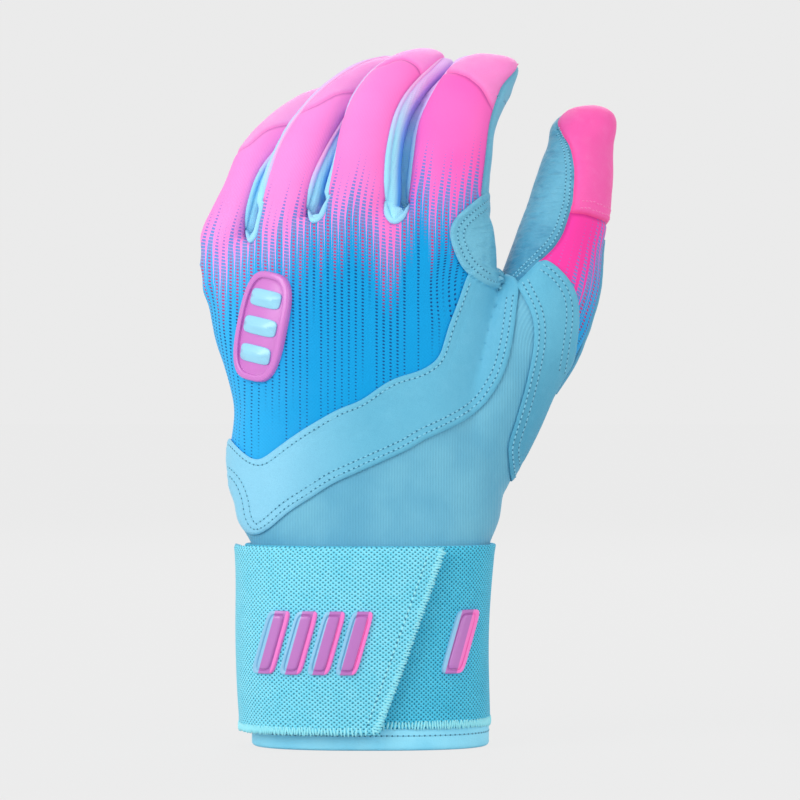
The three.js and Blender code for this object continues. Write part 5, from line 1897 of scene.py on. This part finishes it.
def makeWelt(name):
    f = Finish(name, **{"Sheen Weight": 0.1, "Sheen Roughness": 0.5, "Specular IOR Level": 0.2})
    high = f.measure("high")
    tone = f.mix(high.rise(0.0, 0.6), tint(160, 228, 252), tint(212, 204, 252))
    tone = f.mix(high.rise(0.5, 1.0), tone, tint(250, 178, 232))
    fine = f.noise(0.5, 2)
    return f.give(colour=f.mix(fine * 0.14, tone, tint(150, 200, 240)), roughness=0.7 + (fine - 0.5) * 0.1,
                  normal=f.bump(fine, 0.08))


def makeGusset(name):
    f = Finish(name, **{"Sheen Weight": 0.08, "Sheen Roughness": 0.5, "Specular IOR Level": 0.16})
    along, across, high = f.measure("printAlong"), f.measure("printAcross"), f.measure("tipShare")
    tone = f.mix(high.rise(0.25, 0.8), tint(164, 234, 255), tint(238, 188, 246))
    fine = (along * 9.0).sine() * 0.5 + 0.5
    knit = fine * ((across * 8.0).sine() * 0.5 + 0.5)
    tone = f.mix(knit * 0.16, tone, tint(120, 190, 235))
    # painted shade of the slit between the fingers: away from the welts the gusset turns deep blue low down and
    # lavender towards the tip
    inner = f.mix(high.rise(0.15, 0.85), tint(48, 172, 250), tint(188, 156, 240))
    tone = f.mix(f.measure("seamGap").rise(2.2, 5.0) * 0.85, tone, inner)
    normal = f.bump(knit * 0.6 + f.noise(0.5, 2) * 0.4, 0.1)
    return f.give(colour=tone, roughness=0.7 + (f.noise(3, 2) - 0.5) * 0.15, normal=normal)


def makeStretchKnit(name):
    f = Finish(name, **{"Sheen Weight": 0.15, "Sheen Roughness": 0.45, "Specular IOR Level": 0.2})
    across, along = f.measure("printAcross"), f.measure("printAlong")
    rib = (across * 6.6).sine() * 0.5 + 0.5
    cross = (along * 8.2).sine() * 0.5 + 0.5
    tone = f.mix(f.noise(22, 3).rise(0.3, 0.7), tint(98, 172, 202), tint(117, 189, 214))
    tone = f.mix((1 - rib) * 0.32, tone, tint(84, 158, 192))
    # painted shade: darker along the seams, where the panels dip into them
    tone = f.mix(f.measure("seamGap").rise(1.6, 0.1) * 0.4, tone, tint(84, 158, 192), "MULTIPLY")
    normal = f.bump(rib * 0.7 + cross * 0.15 + f.noise(0.6, 2) * 0.15, 0.13)
    return f.give(colour=tone, roughness=0.6 + (f.noise(3, 2) - 0.5) * 0.15, normal=normal)


def makeWeave(name, bright, middle, hole, cell=0.8):
    # knitted elastic: threads round small holes on a diagonal lattice
    f = Finish(name, **{"Sheen Weight": 0.1, "Sheen Roughness": 0.5, "Specular IOR Level": 0.16})
    around, height = f.measure("around"), f.measure("upward")
    warp = (f.noise(2.2, 3) - 0.5) * 0.75
    u, v = (around + warp) * (math.pi / cell), (height + warp) * (math.pi / (cell * 0.92))
    lattice = u.sine() * v.sine()
    threads = lattice.size()
    diagonal = ((u + v).sine() * 0.5 + 0.5) * 0.5 + ((u - v).sine() * 0.5 + 0.5) * 0.5
    holes = lattice.rise(0.22, 0.78)
    tone = f.mix(diagonal, middle, bright)
    tone = f.mix(f.noise(0.9, 2).rise(0.35, 0.75) * 0.5, tone, bright)
    tone = f.mix(f.noise(9, 3).rise(0.4, 0.75) * 0.25, tone, middle)
    tone = f.mix(holes * 0.88, tone, hole)
    normal = f.bump((1 - holes) * 0.7 + threads * 0.1 + f.noise(0.7, 3) * 0.25, 0.3)
    return f.give(colour=tone, roughness=0.72 + (f.noise(2, 2) - 0.5) * 0.2, normal=normal)


def makeNeoprene(name):
    f = Finish(name, **{"Sheen Weight": 0.1, "Specular IOR Level": 0.2})
    tone = f.mix(f.noise(12, 3).rise(0.3, 0.7), tint(134, 218, 246), tint(150, 228, 252))
    normal = f.bump(f.cells(0.7) * 0.5 + f.noise(0.5, 3) * 0.5, 0.07)
    return f.give(colour=tone, roughness=0.55 + (f.noise(3, 2) - 0.5) * 0.15, normal=normal)


def makeRubber(name, body, left=None, right=None, roughness=0.3):
    # glossy moulded rubber; left and right tint the two flanks of a piece with a "share" measure
    f = Finish(name, **{"Specular IOR Level": 0.55, "Coat Weight": 0.25, "Coat Roughness": 0.2})
    tone = f.mix(f.noise(6, 2) * 0.25, body, tuple(min(1, c * 1.2) for c in body[:3]) + (1,))
    if left:
        share = f.measure("share")
        tone = f.mix(share.rise(-0.5, -0.56), tone, left)
        tone = f.mix(share.rise(0.5, 0.56), tone, right)
    normal = f.bump(f.noise(0.35, 3), 0.03)
    return f.give(colour=tone, roughness=roughness + (f.noise(2.5, 3) - 0.5) * 0.12, normal=normal)


def makeThread(name, colour, light):
    f = Finish(name, **{"Sheen Weight": 0.2, "Specular IOR Level": 0.4})
    twist = f.noise(0.35, 2)
    tone = f.mix(twist, colour, light)
    return f.give(colour=tone, roughness=0.5 + (f.noise(1, 2) - 0.5) * 0.2, normal=f.bump(twist, 0.05))


def makeNap(name, colour, dark, cell):
    f = Finish(name, **{"Sheen Weight": 0.4, "Specular IOR Level": 0.3})
    tuft = f.cells(cell)
    tone = f.mix(tuft.rise(0.1, 0.8), colour, dark)
    return f.give(colour=tone, roughness=0.8 + (f.noise(1, 2) - 0.5) * 0.1,
                  normal=f.bump((1 - tuft) * 0.7 + f.noise(0.4, 3) * 0.3, 0.4))


thumbMiddle = float(limbs["thumb"].centre[thumbHang * 2][0] - limbs["thumb"].palm[thumbHang * 2][0] * 4)
finishes = {
    "print": makePrint("handPrint", printLook["top"], printLook["bottom"], printLook["pinks"]),
    "thumbPrint": makePrint("thumbPrint", 198.0, 106.0, printLook["thumbPinks"], (thumbMiddle - 6, thumbMiddle + 9)),
    "gusset": makeGusset("gussetKnit"),
    "stretch": makeStretchKnit("stretchKnit"),
    "palm": makeLeather("palmLeather", tint(120, 194, 220), tint(142, 210, 232), tint(98, 176, 206), wrinkle=0.35),
    # the thumb's inner leather darkens towards the crotch below, which is painted shade
    "thumbLeather": makeLeather("thumbLeather", tint(108, 184, 212), tint(142, 210, 232), tint(80, 160, 194),
                                roughness=0.38, wrinkle=1.3, paintedShading=[(2, 188.0, 164.0, tint(58, 140, 178), 0.8)]),
    "welt": makeWelt("weltKnit"),
    # the strip is paler at its left end, which is painted light from the key lamp, and darker at its right end, which
    # is painted shade
    "strip": makeLeather("stripLeather", tint(104, 188, 218), tint(126, 204, 231), tint(86, 171, 204), paintedShading=[
        (0, -8.0, -54.0, tint(150, 218, 246), 0.8), (0, 2.0, 28.0, tint(96, 182, 214), 0.7)]),
    "wrap": makeLeather("wrapLeather", tint(116, 192, 218), tint(136, 208, 232), tint(94, 172, 202), wrinkle=0.8),
    # the saddle darkens low down, which is painted shade
    "saddle": makeLeather("saddleLeather", tint(102, 188, 218), tint(122, 204, 230), tint(78, 162, 196),
                          paintedShading=[(2, 150.0, 106.0, tint(72, 158, 192), 0.7)]),
    "weave": makeWeave("tabWeave", tint(150, 234, 252), tint(84, 204, 233), tint(14, 118, 152)),
    "underWeave": makeWeave("bandWeave", tint(98, 214, 244), tint(42, 174, 212), tint(10, 92, 128)),
    "neoprene": makeNeoprene("cuffNeoprene"),
    "bars": makeRubber("barRubber", tint(186, 112, 190), tint(138, 196, 230), tint(255, 122, 206)),
    "badgeBase": makeRubber("badgeRubber", tint(206, 118, 202)),
    "badgeRib": makeRubber("badgeRibRubber", tint(150, 214, 240)),
    "thread": makeThread("overlayThread", tint(108, 188, 214), tint(140, 210, 234)),
    "pinkThread": makeThread("capThread", tint(252, 92, 178), tint(255, 138, 204)),
    "fringe": makeThread("overlockThread", tint(120, 222, 238), tint(176, 242, 250)),
    # the needle holes' dark colour is painted shade inside the holes
    "needleHole": makeThread("needleHole", tint(28, 104, 138), tint(40, 124, 156)),
    "loop": makeNap("loopNap", tint(96, 178, 206), tint(60, 140, 172), 0.6),
    "hook": makeNap("hookTape", tint(110, 190, 214), tint(58, 136, 168), 1.2),
    # one pink leather for the finger caps, drawn paler towards the little finger, which is painted light from the key
    # lamp on the left
    "pink.index": makeLeather("indexCapLeather", tint(255, 142, 214), tint(255, 178, 230), tint(250, 116, 200)),
    "pink.middle": makeLeather("middleCapLeather", tint(255, 148, 224), tint(255, 180, 236), tint(250, 122, 206)),
    "pink.ring": makeLeather("ringCapLeather", tint(253, 160, 228), tint(255, 190, 240), tint(250, 130, 212)),
    "pink.pinky": makeLeather("pinkyCapLeather", tint(254, 168, 230), tint(255, 194, 242), tint(248, 132, 212)),
    "pink.thumb": makeLeather("thumbCapLeather", tint(255, 98, 184), tint(255, 140, 206), tint(244, 76, 168)),
}


def wear(piece, finish):
    piece.data.materials.clear()
    piece.data.materials.append(finishes[finish])


for label, piece in panelPieces.items():
    family = familyOf(label)
    if label.endswith("Cap"):
        wear(piece, "pink." + label[:-3])
    elif label == "thumbPalm":
        wear(piece, "thumbLeather")
    else:
        wear(piece, {"print": "print", "thumbBack": "thumbPrint", "gusset": "gusset", "palm": "palm",
                     "wristStretch": "stretch"}[family])
for name, piece in overlayPieces.items():
    wear(piece, name)
    wear(stitchPieces[name], "thread")
    wear(holePieces[name], "needleHole")
wear(cuffPiece, "neoprene")
wear(bandPiece, "underWeave")
wear(tabPiece, "weave")
for piece in barPieces:
    wear(piece, "bars")
wear(badgePiece, "badgeBase")
for piece in badgeRibs:
    wear(piece, "badgeRib")
wear(patchPiece, "palm")
wear(pipingPiece, "palm")
for node, finish in (("loop_patch", "loop"), ("hook_patch", "hook")):
    for slot in frame["nodes"][node].material_slots:
        slot.material = finishes[finish]
print("materials made")


def measureAround(piece):
    # millimetres round the wrist and up it, for the weaves
    mesh = piece.data
    turn = wristRing(36, 2.0, 720)
    steps = np.linalg.norm(np.diff(np.vstack([turn, turn[:1]]), axis=0), axis=1)
    run = np.concatenate([[0], np.cumsum(steps)])
    angles = np.unwrap(np.arctan2(turn[:, 1] - turn[:, 1].mean(), turn[:, 0] - turn[:, 0].mean()))
    points = np.array([v.co[:] for v in mesh.vertices]) / mm - gloveShift
    own = np.arctan2(points[:, 1] - turn[:, 1].mean(), points[:, 0] - turn[:, 0].mean())
    own = (own - angles[0]) % (2 * math.pi) + angles[0]
    around = np.interp(own, np.append(angles, angles[0] + 2 * math.pi), run)
    whole = run[-1]
    cells = round(whole / 1.6) * 1.6 / whole
    loops = np.array([loop.vertex_index for loop in mesh.loops])
    value = around[loops]
    for polygon in mesh.polygons:
        part = slice(polygon.loop_start, polygon.loop_start + polygon.loop_total)
        if value[part].max() - value[part].min() > whole / 2:
            value[part] = np.where(value[part] < whole / 2, value[part] + whole, value[part])
    mesh.attributes.new("around", "FLOAT", "CORNER").data.foreach_set("value", (value * cells).astype(np.float32))
    up = points[:, 2].astype(np.float32)
    mesh.attributes.new("upward", "FLOAT", "POINT").data.foreach_set("value", up)


for piece in (bandPiece, tabPiece):
    measureAround(piece)
for piece, finish in zip(thumbStitches, ("pinkThread", "thread", "needleHole")):
    wear(piece, finish)
for piece in fringes:
    wear(piece, "fringe")
for piece, finish in zip(cuffStitches, ("thread", "needleHole")):
    wear(piece, finish)
for piece, finish in zip(tabStitches, ("fringe", "needleHole")):
    wear(piece, finish)
for piece in welts:
    wear(piece, "welt")


# ---- floor, lights and backdrop
stage = {"pale": 0.83, "floorGlow": 0.843, "floorShare": 0.94, "world": 0.72, "key": 21.5, "fill": 6.5, "back": 11.0}


def makeStage():
    bm = bmesh.new()
    bmesh.ops.create_grid(bm, x_segments=1, y_segments=1, size=60)
    floor = newObject("floor", bm)
    material = bpy.data.materials.new("paleFloor")
    material.use_nodes = True
    tree = material.node_tree
    shader = tree.nodes["Principled BSDF"]
    shader.inputs["Base Color"].default_value = (0.72, 0.72, 0.72, 1)
    shader.inputs["Roughness"].default_value = 0.9
    glow = tree.nodes.new("ShaderNodeEmission")
    glow.inputs[0].default_value = (stage["floorGlow"],) * 3 + (1,)
    rays = tree.nodes.new("ShaderNodeLightPath")
    half = tree.nodes.new("ShaderNodeMath")
    half.operation = "MULTIPLY"
    half.inputs[1].default_value = stage["floorShare"]
    tree.links.new(rays.outputs["Is Camera Ray"], half.inputs[0])
    mixer = tree.nodes.new("ShaderNodeMixShader")
    tree.links.new(half.outputs[0], mixer.inputs[0])
    tree.links.new(shader.outputs[0], mixer.inputs[1])
    tree.links.new(glow.outputs[0], mixer.inputs[2])
    tree.links.new(mixer.outputs[0], tree.nodes["Material Output"].inputs[0])
    floor.data.materials.append(material)

    world = bpy.data.worlds.new("studio")
    world.use_nodes = True
    scene.world = world
    tree = world.node_tree
    light = tree.nodes["Background"]
    light.inputs[0].default_value = (1, 1, 1, 1)
    light.inputs[1].default_value = stage["world"]
    seen = tree.nodes.new("ShaderNodeBackground")
    seen.inputs[0].default_value = (stage["pale"],) * 3 + (1,)
    rays = tree.nodes.new("ShaderNodeLightPath")
    either = tree.nodes.new("ShaderNodeMath")
    either.operation = "MAXIMUM"
    tree.links.new(rays.outputs["Is Camera Ray"], either.inputs[0])
    tree.links.new(rays.outputs["Is Glossy Ray"], either.inputs[1])
    more = tree.nodes.new("ShaderNodeMath")
    more.operation = "MAXIMUM"
    tree.links.new(either.outputs[0], more.inputs[0])
    tree.links.new(rays.outputs["Is Transmission Ray"], more.inputs[1])
    mixer = tree.nodes.new("ShaderNodeMixShader")
    tree.links.new(more.outputs[0], mixer.inputs[0])
    tree.links.new(light.outputs[0], mixer.inputs[1])
    tree.links.new(seen.outputs[0], mixer.inputs[2])
    tree.links.new(mixer.outputs[0], tree.nodes["World Output"].inputs[0])

    for name, place, power, size in (("key", (-1.5, -1.3, 1.0), stage["key"], 1.3),
                                     ("fill", (1.3, -1.3, 0.5), stage["fill"], 1.2),
                                     ("back", (0.2, 1.6, 1.4), stage["back"], 1.4)):
        data = bpy.data.lights.new(name, "AREA")
        data.energy, data.size = power, size
        lamp = bpy.data.objects.new(name, data)
        lamp.location = place
        lamp.rotation_euler = (Vector((0, 0, 0.12)) - Vector(place)).to_track_quat("-Z", "Y").to_euler()
        scene.collection.objects.link(lamp)
    scene.view_settings.view_transform = "Standard"


makeStage()
